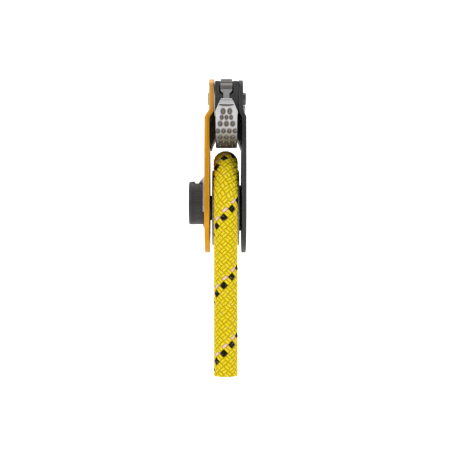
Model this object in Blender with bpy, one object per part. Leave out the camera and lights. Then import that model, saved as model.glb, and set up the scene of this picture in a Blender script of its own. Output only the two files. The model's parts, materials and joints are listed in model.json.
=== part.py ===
"""Progress-capture pulley with a toothed cam, and a short length of rope over its sheave.

Sizes are in millimetres and places are measured from the sheave's axle: X is the width, from the
swinging plate (-X) to the fixed plate (+X), +Y goes to the back and +Z up. The part's origin is the
centre of the attachment eye, so at() and shape() turn these places into metres from there.
"""
import bpy
import bmesh
import math
from mathutils import Vector

MM = 0.001

# The attachment eye, from the axle
EYE_BACK = 6.5
EYE_HIGH = 51.0
EYE_R = 6.5

# Gaps between pieces
TOUCH = 0.2
FIT = 0.25

# Side plates: a wide part round the sheave and a narrow part round the eye
FIXED_WIDE = 9.4
FIXED_NARROW = 7.95
FIXED_THICK = 2.1
SWING_WIDE = 9.7
SWING_NARROW = 7.65
SWING_THICK = 2.4
JOGGLE_LOW = 40.9
JOGGLE_HIGH = 44.3
PLATE_R = 21.0
FIXED_TOP = 58.6
SWING_TOP = 59.1
EDGE_ROUND = 0.3

# Sheave and its bearing
TREAD_R = 13.3
FLANGE_R = 17.7
SHEAVE_HALF = 6.3
GROOVE_R = 5.8
BORE_R = 11.2
AXLE_R = 4.0
BEARING_HALF = 3.0
BALL_PITCH_R = 8.15
BALL_R = 1.6
BALLS = 10

# Cam, turning about its pivot pin
PIVOT_Y = -9.0
PIVOT_Z = 50.1
PIN_R = 1.75
HUB_R = 4.2
CAM_HALF = 4.9
WEB_HALF = 2.4
ARM_R = 9.3
TOOTH_R = 1.05
TOOTH_HIGH = 0.85
TOOTH_SIDES = 6
TOOTH_ROWS = (70.5, 64.0, 56.8, 47.5, 37.5, 27.0, 16.5)

# Housing block
BLOCK_LEFT = 5.3
BLOCK_RIGHT = 5.45
BLOCK_ASIDE = 0.3
CHEEK_LEFT = 7.45
CHEEK_RIGHT = 6.85
CHEEK_R = 40.4
CHEEK_FRONT = -8.0
CHEEK_BACK = 15.0
CHEEK_LOW = 27.4
CHANNEL_HALF = 5.35
BLOCK_FRONT = -15.3
BLOCK_BACK = 16.0
BLOCK_TOP = 58.7
HEEL_LOW = 32.4

# Catch lever, on its own small pin
CATCH_Y = -11.7
CATCH_Z = 56.0
CATCH_PIN_R = 0.75
CATCH_HALF = 2.65

# Lock knob and the cover it turns on
KNOB_Z = 2.35
KNOB_R = 10.15
KNOB_OUT = 17.1
COVER_R = 12.2
COVER_OUT = -12.45

# Rivets, and the holes in the swinging plate
RIVET_R = 0.9
RIVETS = ((-2.5, 46.4), (13.9, 46.4), (-3.2, 57.2))
COVER_RIVETS = ((0.0, 9.6), (-6.8, 6.2), (6.8, 6.2))
BUSH_R = 7.0
STUD_R = 1.9

# Rope
ROPE_R = 5.5
ROPE_ROUTE = (
    (-19.0, -75.8), (-19.0, -62.0), (-19.0, -48.0), (-19.0, -34.0), (-19.0, -20.0), (-19.0, -8.0),
    (-19.0, 0.0), (-18.4, 5.5), (-16.4, 10.7), (-13.4, 15.1), (-9.5, 18.4), (-4.9, 20.6), (0.0, 21.3),
    (4.9, 20.6), (9.5, 18.4), (13.4, 15.1), (16.4, 10.7), (18.4, 5.5), (19.0, 0.0), (19.0, -8.0),
    (19.0, -20.0), (19.0, -34.0), (19.0, -48.0), (19.0, -62.0), (19.0, -75.8),
)
ROPE_STEPS = 2

AXLE = (0.0, 0.0)
EYE = (EYE_BACK, EYE_HIGH)
PIVOT = (PIVOT_Y, PIVOT_Z)
CATCH = (CATCH_Y, CATCH_Z)
KNOB = (0.0, KNOB_Z)
COVER = (0.0, 2.9)


# ---------------------------------------------------------------- basic tools

def at(x, y, z):
    """The part's own place, in metres, of a place given in mm from the axle."""
    return Vector((x, y - EYE_BACK, z - EYE_HIGH)) * MM


def material(name, color, roughness, metallic):
    made = bpy.data.materials.new(name)
    made.use_nodes = True
    shader = made.node_tree.nodes["Principled BSDF"]
    shader.inputs["Base Color"].default_value = (*color, 1.0)
    shader.inputs["Roughness"].default_value = roughness
    shader.inputs["Metallic"].default_value = metallic
    return made


def finish_mesh(name, mesh_edit, pivot, paint):
    """An object of the edited mesh, its origin on the X axis line through pivot (y, z)."""
    bmesh.ops.recalc_face_normals(mesh_edit, faces=mesh_edit.faces)
    mesh = bpy.data.meshes.new(name)
    mesh_edit.to_mesh(mesh)
    mesh_edit.free()
    made = bpy.data.objects.new(name, mesh)
    made.location = at(0.0, *pivot)
    bpy.context.scene.collection.objects.link(made)
    if paint is not None:
        mesh.materials.append(paint)
    mesh.shade_smooth()
    mesh.set_sharp_from_angle(angle=math.radians(35))
    return made


def place_mm(x, y, z, pivot):
    """A mesh point, in metres from the object's origin on its pivot line."""
    return Vector((x, y - pivot[0], z - pivot[1])) * MM


def prism_x(name, outline, low, high, pivot=AXLE, paint=None):
    """A (y, z) outline, extruded from x = low to x = high."""
    edit = bmesh.new()
    ring = [edit.verts.new(place_mm(low, y, z, pivot)) for y, z in outline]
    face = edit.faces.new(ring)
    moved = bmesh.ops.extrude_face_region(edit, geom=[face])
    top = [v for v in moved["geom"] if isinstance(v, bmesh.types.BMVert)]
    bmesh.ops.translate(edit, verts=top, vec=Vector(((high - low) * MM, 0, 0)))
    return finish_mesh(name, edit, pivot, paint)


def prism_y(name, outline, low, high, pivot=AXLE, paint=None):
    """An (x, z) outline, extruded from y = low to y = high."""
    edit = bmesh.new()
    ring = [edit.verts.new(place_mm(x, low, z, pivot)) for x, z in outline]
    face = edit.faces.new(ring)
    moved = bmesh.ops.extrude_face_region(edit, geom=[face])
    top = [v for v in moved["geom"] if isinstance(v, bmesh.types.BMVert)]
    bmesh.ops.translate(edit, verts=top, vec=Vector((0, (high - low) * MM, 0)))
    return finish_mesh(name, edit, pivot, paint)


def turned(name, profile, steps, centre=AXLE, pivot=None, paint=None, phase=0.0):
    """A closed (radius, x) profile turned about the X line through centre; radius 0 is a pole.
    phase shifts the facets by that share of one step, off the corners of a neighbour."""
    pivot = pivot or centre
    edit = bmesh.new()
    poles = {i: edit.verts.new(place_mm(x, *centre, pivot)) for i, (r, x) in enumerate(profile) if r == 0}
    rings = []
    for step in range(steps):
        angle = 2 * math.pi * (step + phase) / steps
        ring = []
        for i, (r, x) in enumerate(profile):
            y = centre[0] + r * math.sin(angle)
            z = centre[1] + r * math.cos(angle)
            ring.append(poles[i] if i in poles else edit.verts.new(place_mm(x, y, z, pivot)))
        rings.append(ring)
    for step in range(steps):
        here, there = rings[step], rings[(step + 1) % steps]
        for i in range(len(profile)):
            j = (i + 1) % len(profile)
            corners = list(dict.fromkeys((here[i], here[j], there[j], there[i])))
            if len(corners) > 2:
                edit.faces.new(corners)
    return finish_mesh(name, edit, pivot, paint)


def rod(name, radius, low, high, centre, steps=24, pivot=None, paint=None):
    """A plain round bar along X."""
    profile = [(0, low), (radius, low), (radius, high), (0, high)]
    return turned(name, profile, steps, centre, pivot, paint, 0.37)


def as_tool(cutter):
    cutter.hide_render = True
    cutter.display_type = "WIRE"
    return cutter


def boolean(target, other, operation):
    change = target.modifiers.new(operation.lower(), "BOOLEAN")
    change.operation = operation
    change.solver = "EXACT"
    change.object = as_tool(other)


def cut(target, *others):
    for other in others:
        boolean(target, other, "DIFFERENCE")


def join(target, *others):
    for other in others:
        boolean(target, other, "UNION")


def keep_inside(target, other):
    boolean(target, other, "INTERSECT")


def soften(target, width=EDGE_ROUND, segments=1):
    bevel = target.modifiers.new("edges", "BEVEL")
    bevel.width = width * MM
    bevel.segments = segments
    bevel.limit_method = "ANGLE"
    bevel.angle_limit = math.radians(38)
    bevel.harden_normals = False


def weld(target):
    """Joins corners that cuts have left a few micrometres apart."""
    change = target.modifiers.new("weld", "WELD")
    change.merge_threshold = 0.01 * MM


def arc(centre, radius, start, end, steps):
    """Points on a circle in the (y, z) plane; degrees, 0 along +y and 90 up."""
    points = []
    for step in range(steps + 1):
        angle = math.radians(start + (end - start) * step / steps)
        points.append((centre[0] + radius * math.cos(angle), centre[1] + radius * math.sin(angle)))
    return points


def rounded(corners, degrees=11.0):
    """A closed outline from (a, b, radius) corners, each corner turned into an arc."""
    outline = []
    for i, (a, b, radius) in enumerate(corners):
        here = Vector((a, b))
        if radius == 0:
            outline.append((a, b))
            continue
        back = (Vector(corners[i - 1][:2]) - here).normalized()
        ahead = (Vector(corners[(i + 1) % len(corners)][:2]) - here).normalized()
        half = back.angle(ahead) / 2
        middle = here + (back + ahead).normalized() * (radius / math.sin(half))
        first = here + back * (radius / math.tan(half)) - middle
        turn = math.pi - 2 * half
        if back.cross(ahead) > 0:
            turn = -turn
        steps = max(1, round(abs(math.degrees(turn)) / degrees))
        for step in range(steps + 1):
            angle = turn * step / steps
            x = first.x * math.cos(angle) - first.y * math.sin(angle)
            y = first.x * math.sin(angle) + first.y * math.cos(angle)
            outline.append((middle.x + x, middle.y + y))
    return outline


def coil(name, centre, radius, wire, low, high, turns, leg, paint):
    """A torsion spring about an X line, with a short straight leg at each end."""
    steps = 10
    count = round(turns * steps)
    points = []
    for step in range(count + 1):
        angle = 2 * math.pi * step / steps
        x = low + (high - low) * step / count
        points.append((x, centre[0] + radius * math.sin(angle), centre[1] + radius * math.cos(angle)))
    last = 2 * math.pi * count / steps
    points.insert(0, (low, centre[0] - leg, centre[1] + radius))
    points.append((high, points[-1][1] + leg * math.cos(last), points[-1][2] - leg * math.sin(last)))
    curve = bpy.data.curves.new(name, "CURVE")
    curve.dimensions = "3D"
    curve.bevel_depth = wire / 2 * MM
    curve.bevel_resolution = 1
    curve.use_fill_caps = True
    curve.resolution_u = 1
    curve.render_resolution_u = 0
    spline = curve.splines.new("POLY")
    spline.points.add(len(points) - 1)
    for knot, (x, y, z) in zip(spline.points, points):
        knot.co = (*place_mm(x, y, z, centre), 1.0)
    curve.materials.append(paint)
    made = bpy.data.objects.new(name, curve)
    made.location = at(0.0, *centre)
    bpy.context.scene.collection.objects.link(made)
    return made


# ---------------------------------------------------------------- side plates

def plate_outline(top):
    """Round the sheave below, round the eye above, with a straighter front edge."""
    top_back = EYE_BACK + EYE_R + 4.0
    return rounded([
        (-PLATE_R, -PLATE_R, PLATE_R - 0.01), (PLATE_R, -PLATE_R, PLATE_R - 0.01),
        (PLATE_R, 24.0, 50.0), (top_back, 47.0, 30.0), (top_back, top, 6.0),
        (-14.4, top, 6.0), (-16.8, 44.0, 60.0), (-PLATE_R, 24.0, 50.0),
    ])


def plate_strip(out, narrow, thick, side):
    """The plate's bent section, seen from the front: wide below the joggle, narrow above."""
    slip = thick * 0.24
    bend = 1.6
    corners = [
        (out, -24.0, 0), (out, JOGGLE_LOW, bend + thick), (narrow, JOGGLE_HIGH, bend),
        (narrow, 64.0, 0), (narrow - thick, 64.0, 0),
        (narrow - thick, JOGGLE_HIGH - slip, bend + thick),
        (out - thick, JOGGLE_LOW - slip, bend), (out - thick, -24.0, 0),
    ]
    return [(side * x, z) for x, z in rounded(corners)]


def plate(name, strip, top, paint):
    body = prism_y(name, strip, -24.0, 24.0, paint=paint)
    keep_inside(body, prism_x(name + "_outline", plate_outline(top), -12.0, 12.0))
    return body


def fixed_side_plate(paint):
    strip = plate_strip(FIXED_WIDE, FIXED_NARROW, FIXED_THICK, 1)
    body = plate("fixed_side_plate", strip, FIXED_TOP, paint)
    soften(body)
    cut(body, rod("fixed_axle_hole", AXLE_R + FIT, 5.0, 11.0, AXLE, 32))
    cut(body, rod("fixed_eye_hole", EYE_R, 4.0, 9.0, EYE, 32))
    cut(body, rod("fixed_pin_hole", PIN_R + FIT, 4.0, 9.0, PIVOT))
    for i, centre in enumerate(RIVETS, 1):
        cut(body, rod(f"fixed_rivet_hole_{i}", RIVET_R + FIT, 4.0, 9.0, centre, 16))


def swinging_side_plate(paint):
    """Its eye is a slot along a circle round the axle, open to the back, so the plate can swing
    away while a connector stays in the eye."""
    strip = plate_strip(SWING_WIDE, SWING_NARROW, SWING_THICK, -1)
    body = plate("swinging_side_plate", strip, SWING_TOP, paint)
    eye_angle = math.degrees(math.atan2(EYE_HIGH, EYE_BACK))
    reach = math.hypot(*EYE)
    open_angle = eye_angle - 28.0
    slot = arc(AXLE, reach + EYE_R, open_angle, eye_angle, 8)
    slot += arc(EYE, EYE_R, eye_angle, eye_angle + 180.0, 18)[1:-1]
    slot += arc(AXLE, reach - EYE_R, eye_angle, open_angle, 8)
    cut(body, prism_x("eye_slot", slot, -9.0, -4.0))
    soften(body)
    cut(body, rod("bush_hole", BUSH_R + FIT, -11.0, -5.0, AXLE, 40))
    cut(body, rod("stud_hole", STUD_R + FIT, -9.0, -4.0, PIVOT, 20))
    for i, centre in enumerate(COVER_RIVETS, 1):
        cut(body, rod(f"cover_rivet_hole_{i}", RIVET_R + FIT, -11.0, -5.0, centre, 16))


# ---------------------------------------------------------------- fasteners and pins

def headed(name, centre, shank_r, head_r, tip, seat, top, steps, paint, dome=0.45, pivot=None):
    """A pin from tip to a domed head that sits at seat and ends at top."""
    way = 1 if top > seat else -1
    profile = [(0, tip), (shank_r, tip), (shank_r, seat), (head_r, seat)]
    profile += [(head_r, top - way * dome), (head_r * 0.8, top), (0, top)]
    return turned(name, profile, steps, centre, pivot, paint)


def pins_and_rivets(steel, dark):
    seat = FIXED_NARROW + TOUCH / 2
    headed("cam_pivot_pin", PIVOT, PIN_R, 2.9, BLOCK_ASIDE + TOUCH - BLOCK_LEFT, seat, 9.35, 24, dark)
    headed("block_rivet_1", RIVETS[0], RIVET_R, 1.75, WEB_HALF + 0.8, seat, 9.3, 16, steel)
    headed("block_rivet_2", RIVETS[1], RIVET_R, 1.75, -2.6, seat, 9.3, 16, steel)
    rod("block_rivet_3", RIVET_R, -2.6, FIXED_NARROW, RIVETS[2], 16, paint=steel)
    headed("plate_stud", PIVOT, STUD_R, 2.9, SWING_THICK - SWING_NARROW, -SWING_NARROW - TOUCH / 2,
           -8.2, 24, steel, dome=0.2, pivot=AXLE)
    for i, centre in enumerate(COVER_RIVETS, 1):
        low = SWING_THICK - SWING_WIDE
        rod(f"cover_rivet_{i}", RIVET_R, -10.5, low, centre, 12, pivot=AXLE, paint=steel)


# ---------------------------------------------------------------- housing block

def sector(radius_in, radius_out, start, end, steps):
    """A ring sector about the cam's pivot; degrees from straight down, towards the front."""
    outer = [polar(radius_out, start + (end - start) * i / steps) for i in range(steps + 1)]
    if radius_in == 0:
        return outer + [PIVOT]
    inner = [polar(radius_in, end + (start - end) * i / steps) for i in range(steps + 1)]
    return outer + inner


def polar(radius, degrees):
    """A (y, z) place about the cam's pivot; 0 is straight down and 90 points to the front."""
    angle = math.radians(degrees)
    return (PIVOT_Y - radius * math.sin(angle), PIVOT_Z - radius * math.cos(angle))


def block_wide_part():
    """Below the joggle the block fills the plates' wide gap, out to the swinging plate's path."""
    back_angle = math.degrees(math.acos(CHEEK_BACK / CHEEK_R))
    front_angle = math.degrees(math.acos(CHEEK_FRONT / CHEEK_R))
    side = [(y, z, 0) for y, z in arc(AXLE, CHEEK_R, back_angle, front_angle, 8)]
    outline = rounded([(CHEEK_FRONT, CHEEK_LOW, 2.0), (CHEEK_BACK, CHEEK_LOW, 4.0)] + side)
    body = prism_x("block_wide", outline, -CHEEK_LEFT, CHEEK_RIGHT)
    collar = turned("block_collar", [
        (36.0, -CHEEK_LEFT), (40.0, -CHEEK_LEFT), (43.4, 0.1 - BLOCK_LEFT), (43.4, BLOCK_RIGHT - 0.1),
        (40.1, CHEEK_RIGHT), (36.0, CHEEK_RIGHT)], 72)
    near, far = CHEEK_FRONT + 0.1, CHEEK_BACK - 0.1
    span = [(near, 30.0), (far, 30.0), (far, 50.0), (near, 50.0)]
    keep_inside(collar, prism_x("collar_span", span, -12.0, 12.0))
    join(body, collar)
    for way in (-1, 1):
        slope = [(5.3, 31.8), (5.8, 30.9), (6.3, 29.6), (6.7, 28.2), (7.0, 27.0), (5.0, 27.0),
                 (5.0, 31.8)]
        cut(body, prism_y(f"cheek_slope_{way + 1}", [(way * x, z) for x, z in slope], -18.0, 18.0))
    return body


def housing_block(paint):
    outline = rounded([
        (0.0, HEEL_LOW, 0), (15.0, HEEL_LOW, 2.5), (BLOCK_BACK, 44.0, 0),
        (BLOCK_BACK - 0.3, BLOCK_TOP, 6.5), (-7.0, BLOCK_TOP, 0), (BLOCK_FRONT, 57.6, 1.5),
        (BLOCK_FRONT, 34.0, 0),
    ])
    body = prism_x("housing_block", outline, -7.0, 7.0, paint=paint)
    left, right, low, high = -BLOCK_LEFT, BLOCK_RIGHT, 20.0, 64.0
    front_shape = rounded([(left, low, 0), (right, low, 0), (right, 58.2, 0.9), (left, 58.2, 1.5)])
    nose = prism_y("block_front_shape", front_shape, -18.0, -6.0)
    rest = prism_y("block_back_shape", [(left, low), (right, low), (right, high), (left, high)], -6.5, 18.0)
    join(nose, rest)
    keep_inside(body, nose)
    join(body, block_wide_part())
    cut(body, prism_x("cam_space", sector(ARM_R, 27.6, -58.0, 102.0, 24), -CHANNEL_HALF, CHANNEL_HALF))
    cut(body, prism_x("rope_space", [(-18, 20), (18, 20), (18, HEEL_LOW), (-18, HEEL_LOW)],
                      -CHANNEL_HALF, CHANNEL_HALF))
    slot = WEB_HALF + 0.3
    cut(body, prism_x("web_space", sector(0, ARM_R + 0.2, -75.0, 64.0, 16), -slot, slot))
    cut(body, rod("hub_space", HUB_R + 0.5, -slot, slot, PIVOT, 32))
    wide, neck = CATCH_HALF + 0.6, 1.8
    funnel = rounded([
        (-neck, 44.0, 0), (neck, 44.0, 0), (neck, 50.8, 0.7), (wide, 52.3, 0.7),
        (wide, 64.0, 0), (-wide, 64.0, 0), (-wide, 52.3, 0.7), (-neck, 50.8, 0.7)])
    cut(body, prism_y("catch_space", funnel, -18.0, -9.6))
    cut(body, rod("block_eye_hole", EYE_R + 0.15, -8.0, 8.0, EYE, 32))
    cut(body, rod("block_pin_hole", PIN_R + FIT, -8.0, 8.0, PIVOT))
    cut(body, rod("block_catch_pin_hole", CATCH_PIN_R + FIT, -8.0, 8.0, CATCH, 16))
    for i, centre in enumerate(RIVETS, 1):
        cut(body, rod(f"block_rivet_hole_{i}", RIVET_R + FIT, -3.2, 8.0, centre, 16))
    weld(body)


# ---------------------------------------------------------------- sheave, bearing and axle

def race(radius_out, radius_in, groove_at, into):
    """A bearing ring's profile, with a shallow ball groove; into is +1 where it faces inwards."""
    groove_r = BALL_R + 0.25
    wall = radius_in if into > 0 else radius_out
    dip = abs(groove_at - wall)
    half = math.sqrt(groove_r ** 2 - (groove_r - dip) ** 2)
    groove = []
    for step in range(5):
        x = half * (1 - step / 2)
        groove.append((BALL_PITCH_R + into * math.sqrt(groove_r ** 2 - x ** 2), x))
    if into > 0:
        grooved, plain = radius_in, radius_out
    else:
        grooved, plain = radius_out, radius_in
    ring = [(grooved, BEARING_HALF)] + groove + [(grooved, -BEARING_HALF)]
    return ring + [(plain, -BEARING_HALF), (plain, BEARING_HALF)]


def sheave(paint):
    lip = math.sqrt(GROOVE_R ** 2 - (TREAD_R + GROOVE_R - FLANGE_R) ** 2)
    start = math.atan2(TREAD_R + GROOVE_R - FLANGE_R, lip)
    groove = []
    for step in range(11):
        angle = start + (math.pi - 2 * start) * step / 10
        groove.append((TREAD_R + GROOVE_R - GROOVE_R * math.sin(angle), GROOVE_R * math.cos(angle)))
    ring_low = BEARING_HALF + 0.35
    ring_high = ring_low + 0.7
    profile = [(FLANGE_R, SHEAVE_HALF - 0.2)] + groove + [
        (FLANGE_R, 0.2 - SHEAVE_HALF), (FLANGE_R - 0.3, -SHEAVE_HALF), (12.6, -SHEAVE_HALF),
        (12.2, 0.5 - SHEAVE_HALF), (BORE_R - 1.0, 0.5 - SHEAVE_HALF), (BORE_R - 1.0, -BEARING_HALF - 0.25),
        (BORE_R, -BEARING_HALF - 0.25), (BORE_R, ring_low), (BORE_R + 0.8, ring_low),
        (BORE_R + 0.8, ring_high), (BORE_R, ring_high), (BORE_R, SHEAVE_HALF - 0.5),
        (12.2, SHEAVE_HALF - 0.5), (12.6, SHEAVE_HALF), (FLANGE_R - 0.3, SHEAVE_HALF),
    ]
    turned("sheave", profile, 32, paint=paint)


def bearing(steel, brass, rubber):
    turned("bearing_inner_ring", race(6.9, AXLE_R + FIT, 6.3, -1), 24, paint=steel)
    turned("bearing_outer_ring", race(BORE_R - FIT, 9.4, 10.0, 1), 24, paint=steel)
    for side, name in ((-1, "bearing_seal_left"), (1, "bearing_seal_right")):
        near, far = side * 2.55, side * 2.85
        turned(name, [(7.2, near), (9.1, near), (9.1, far), (7.2, far)], 24, paint=rubber)
    cage = turned("ball_cage", [(7.7, -2.25), (8.6, -2.25), (8.6, 2.25), (7.7, 2.25)], 30, paint=brass)
    for i in range(BALLS):
        angle = 2 * math.pi * i / BALLS
        y, z = BALL_PITCH_R * math.sin(angle), BALL_PITCH_R * math.cos(angle)
        cut(cage, ball(f"ball_pocket_{i + 1}", y, z, BALL_R + 0.25, None))
        ball(f"ball_{i + 1:02d}", y, z, BALL_R, steel)


def ball(name, y, z, radius, paint):
    edit = bmesh.new()
    bmesh.ops.create_uvsphere(edit, u_segments=8, v_segments=6, radius=radius * MM)
    bmesh.ops.translate(edit, verts=edit.verts, vec=place_mm(0, y, z, AXLE))
    return finish_mesh(name, edit, AXLE, paint)


def retaining_ring(paint):
    """An open ring in the groove of the sheave's bore, with a round eye at each end."""
    inner, outer = 10.3, BORE_R + 0.6
    half_gap = 11.0
    outline = arc(AXLE, outer, 90 + half_gap, 450 - half_gap, 36)
    outline += arc(AXLE, inner, 450 - half_gap, 90 + half_gap, 36)
    low = BEARING_HALF + 0.5
    prism_x("bearing_retaining_ring", outline, low, low + 0.45, paint=paint)


def axle_and_spacers(steel, black):
    turned("axle", [(0, -8.9), (5.3, -8.9), (5.5, -8.7), (5.5, -8.1), (AXLE_R, -8.1), (AXLE_R, 8.95),
                    (AXLE_R - 0.25, FIXED_WIDE), (0, FIXED_WIDE)], 32, paint=steel)
    bore = AXLE_R + FIT
    near, far = BEARING_HALF + FIT, FIXED_WIDE - FIXED_THICK - TOUCH
    left = SWING_WIDE - SWING_THICK - TOUCH
    turned("left_hub_spacer", [(bore, -near), (5.8, -near), (5.8, TOUCH - left), (5.6, -left),
                               (bore, -left)], 24, paint=black)
    turned("right_hub_spacer", [(bore, near), (5.8, near), (5.8, 6.35), (10.3, 6.35), (10.7, 6.6),
                                (10.7, far), (bore, far)], 28, paint=black)


def pivot_bush(paint):
    out, back = SWING_WIDE, SWING_WIDE - SWING_THICK
    turned("pivot_bush", [(BUSH_R, -back), (AXLE_R + FIT, -back), (AXLE_R + FIT, -7.85), (5.75, -7.85),
                          (5.75, -out), (BUSH_R, -out)], 28, paint=paint)


# ---------------------------------------------------------------- cam

def cam_face(degrees):
    """The toothed face's radius about the pivot, at degrees from straight down; its low end, below
    the last row of teeth, is a plain heel."""
    return max(22.75, 22.0 + 0.05 * degrees)


def cam_tooth(number, degrees, x, radius):
    """One cone standing square on the toothed face."""
    low, high = cam_face(degrees) - 0.5, cam_face(degrees) + TOOTH_HIGH
    angle = math.radians(degrees)
    out = Vector((0.0, -math.sin(angle), -math.cos(angle)))
    across = Vector((0.0, -math.cos(angle), math.sin(angle)))
    edit = bmesh.new()
    rings = []
    for size, distance in ((radius * 1.25, low), (radius * 0.22, high)):
        ring = []
        for step in range(TOOTH_SIDES):
            turn = 2 * math.pi * step / TOOTH_SIDES
            offset = across * (size * math.cos(turn)) + Vector((size * math.sin(turn), 0, 0))
            ring.append(edit.verts.new((out * distance + offset + Vector((x, 0, 0))) * MM))
        rings.append(ring)
    for step in range(TOOTH_SIDES):
        nxt = (step + 1) % TOOTH_SIDES
        edit.faces.new((rings[0][step], rings[0][nxt], rings[1][nxt], rings[1][step]))
    edit.faces.new(rings[0])
    edit.faces.new(rings[1])
    return finish_mesh(f"cam_tooth_{number}", edit, PIVOT, None)


def front(u, v):
    """A (y, z) place u mm in front of the cam's pivot and v mm above it."""
    return (PIVOT_Y - u, PIVOT_Z + v)


def cam(paint):
    face = [polar(cam_face(d), d) for d in range(0, 77, 4)]
    nose = [front(25.3, -5.0), front(24.5, -3.7), front(22.6, -2.7)]
    web = [front(9.0, -2.5), front(7.7, -2.6), front(7.5, -4.6), front(6.4, -5.4), front(3.4, -2.6),
           front(-2.4, -3.4), front(-0.7, -9.6)]
    body = prism_x("cam", face + nose + web, -WEB_HALF, WEB_HALF, pivot=PIVOT, paint=paint)
    back = [front(9.9, -2.5)] + [polar(ARM_R + 0.3, d) for d in range(78, -1, -6)]
    wide = prism_x("cam_wide", face + nose + back, -CAM_HALF, CAM_HALF, pivot=PIVOT)
    for way in (-1, 1):
        roof = [(2.3, 47.5), (2.3, 52.0), (6.0, 52.0), (6.0, 40.6), (CAM_HALF, 41.6)]
        cut(wide, prism_y(f"nose_slope_{way + 1}", [(way * x, z) for x, z in roof], -40.0, 10.0))
    join(body, wide)
    join(body, rod("cam_hub", HUB_R, -WEB_HALF, WEB_HALF, PIVOT, 32))
    number = 0
    for row, degrees in enumerate(TOOTH_ROWS):
        spots = (-3.85, -1.3, 1.3, 3.85) if row % 2 else (-2.75, 0.0, 2.75)
        size = TOOTH_R
        if row == 0:
            spots = (-1.45, 1.45)
        if row == 1:
            spots, size = (-2.05, 0.0, 2.05), 0.8
        for x in spots:
            number += 1
            join(body, cam_tooth(number, degrees, x, size))
    cut(body, rod("cam_pin_hole", PIN_R + FIT, -6.0, 6.0, PIVOT))
    cut(body, rod("cam_spring_pocket", 3.5, 0.4, 6.0, PIVOT, 24))


# ---------------------------------------------------------------- catch lever

def catch_lever(paint):
    """A T-shaped lever: thumb head above, narrow neck behind the cam's nose below."""
    half = CATCH_HALF
    shape = rounded([
        (-1.4, 47.0, 0.6), (1.4, 47.0, 0.6), (1.4, 52.0, 0.9), (half, 52.9, 0.7),
        (half, 58.4, 0.4), (-half, 58.4, 0.4), (-half, 52.9, 0.7), (-1.4, 52.0, 0.9)])
    body = prism_y("catch_lever", shape, -15.3, -13.6, pivot=CATCH, paint=paint)
    thumb_line = [(-17.0, 57.2), (-15.25, 57.2), (-14.95, 57.0), (-14.95, 56.7), (-15.25, 56.5),
                  (-17.0, 56.5)]
    thumb_dip = [(-17.0, 55.3), (-15.2, 55.3), (-14.8, 55.0), (-14.8, 54.2), (-15.2, 53.8),
                 (-17.0, 53.8)]
    for name, groove in (("catch_line", thumb_line), ("catch_dip", thumb_dip)):
        cut(body, prism_x(name, groove, -4.0, 4.0, pivot=CATCH))
    knuckle = rounded([(-14.2, 54.7, 0), (CATCH_Y + 1.45, 54.55, 1.3), (CATCH_Y + 1.45, 57.45, 1.3),
                       (-14.2, 57.3, 0)])
    join(body, prism_x("catch_knuckle", knuckle, -2.5, 0.7, pivot=CATCH))
    cut(body, rod("catch_pin_space", CATCH_PIN_R + FIT, -6.0, 6.0, CATCH, 16))


# ---------------------------------------------------------------- lock knob and its cover

def ring_part(radius_in, radius_out, start, end, steps, centre=KNOB):
    """A ring sector; degrees from straight down, towards the front."""
    points = []
    for radius, first, last in ((radius_out, start, end), (radius_in, end, start)):
        for step in range(steps + 1):
            angle = math.radians(first + (last - first) * step / steps)
            points.append((centre[0] - radius * math.sin(angle), centre[1] - radius * math.cos(angle)))
    return points


def lock_cover(paint):
    """A silver dish on the plate: a floor under the knob, open at the front, and a cone that rises
    round the knob's back and top. The floor has a window for the knob's foot."""
    base = -SWING_WIDE - TOUCH
    profile = [(0, base), (COVER_R, base), (COVER_R, base - 0.2), (9.4, COVER_OUT), (0, COVER_OUT)]
    body = turned("lock_cover", profile, 36, centre=COVER, pivot=AXLE, paint=paint)
    cut(body, rod("cover_hollow", KNOB_R - 0.55, -14.0, -10.65, KNOB, 36))
    cut(body, prism_x("cover_front", ring_part(8.0, 16.0, -52.0, 164.0, 24), -14.0, -10.6))
    cut(body, prism_x("cover_notch", ring_part(9.5, 16.0, 8.0, 69.0, 8), -14.0, -8.0))
    cut(body, rod("cover_screw_hole", 2.1, -13.0, -8.0, KNOB, 24))
    cut(body, prism_x("cover_window", ring_part(6.6, 10.55, -52.0, 72.0, 16), -13.0, -8.0))
    for i, centre in enumerate(COVER_RIVETS, 1):
        cut(body, rod(f"cover_own_hole_{i}", RIVET_R + FIT, -13.0, -8.0, centre, 16))
    weld(body)


def lock_knob(paint):
    """A round knob with a wider grip rim, carried down the front by a lobe, a hollow for its spring
    and a foot towards the plate."""
    rim, step_x, body_r = KNOB_R, -14.35, KNOB_R - 0.85
    out = -KNOB_OUT
    profile = [(2.15, out + 1.3), (7.2, out + 1.3), (7.9, out), (rim - 0.9, out), (rim - 0.25, out + 0.3),
               (rim, out + 1.0), (rim, step_x - 0.4), (rim - 0.3, step_x), (body_r, step_x + 0.1),
               (body_r, -10.9), (9.05, -10.9), (8.3, -11.7), (5.3, -11.7), (5.3, -14.4), (2.15, -14.4)]
    body = turned("lock_knob", profile, 32, centre=KNOB, paint=paint)
    lobe = ring_part(8.4, rim - 0.05, 0.0, 150.0, 20)
    join(body, prism_x("knob_lobe", lobe, -15.5, -10.95, pivot=KNOB))
    foot = ring_part(7.3, rim - 0.1, 0.5, 66.0, 12)
    join(body, prism_x("knob_foot", foot, -15.3, -9.8, pivot=KNOB))
    grip = [(-1.3, KNOB_Z - 7.6), (1.3, KNOB_Z - 7.6), (1.3, KNOB_Z + 7.6), (-1.3, KNOB_Z + 7.6)]
    join(body, prism_x("knob_grip", grip, out + 0.15, out + 2.0, pivot=KNOB))
    cut(body, rod("knob_screw_space", 3.6, out - 1.0, out + 1.3, KNOB, 28))
    cut(body, rod("knob_shank_space", 2.15, out - 1.0, -8.0, KNOB, 24))


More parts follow.
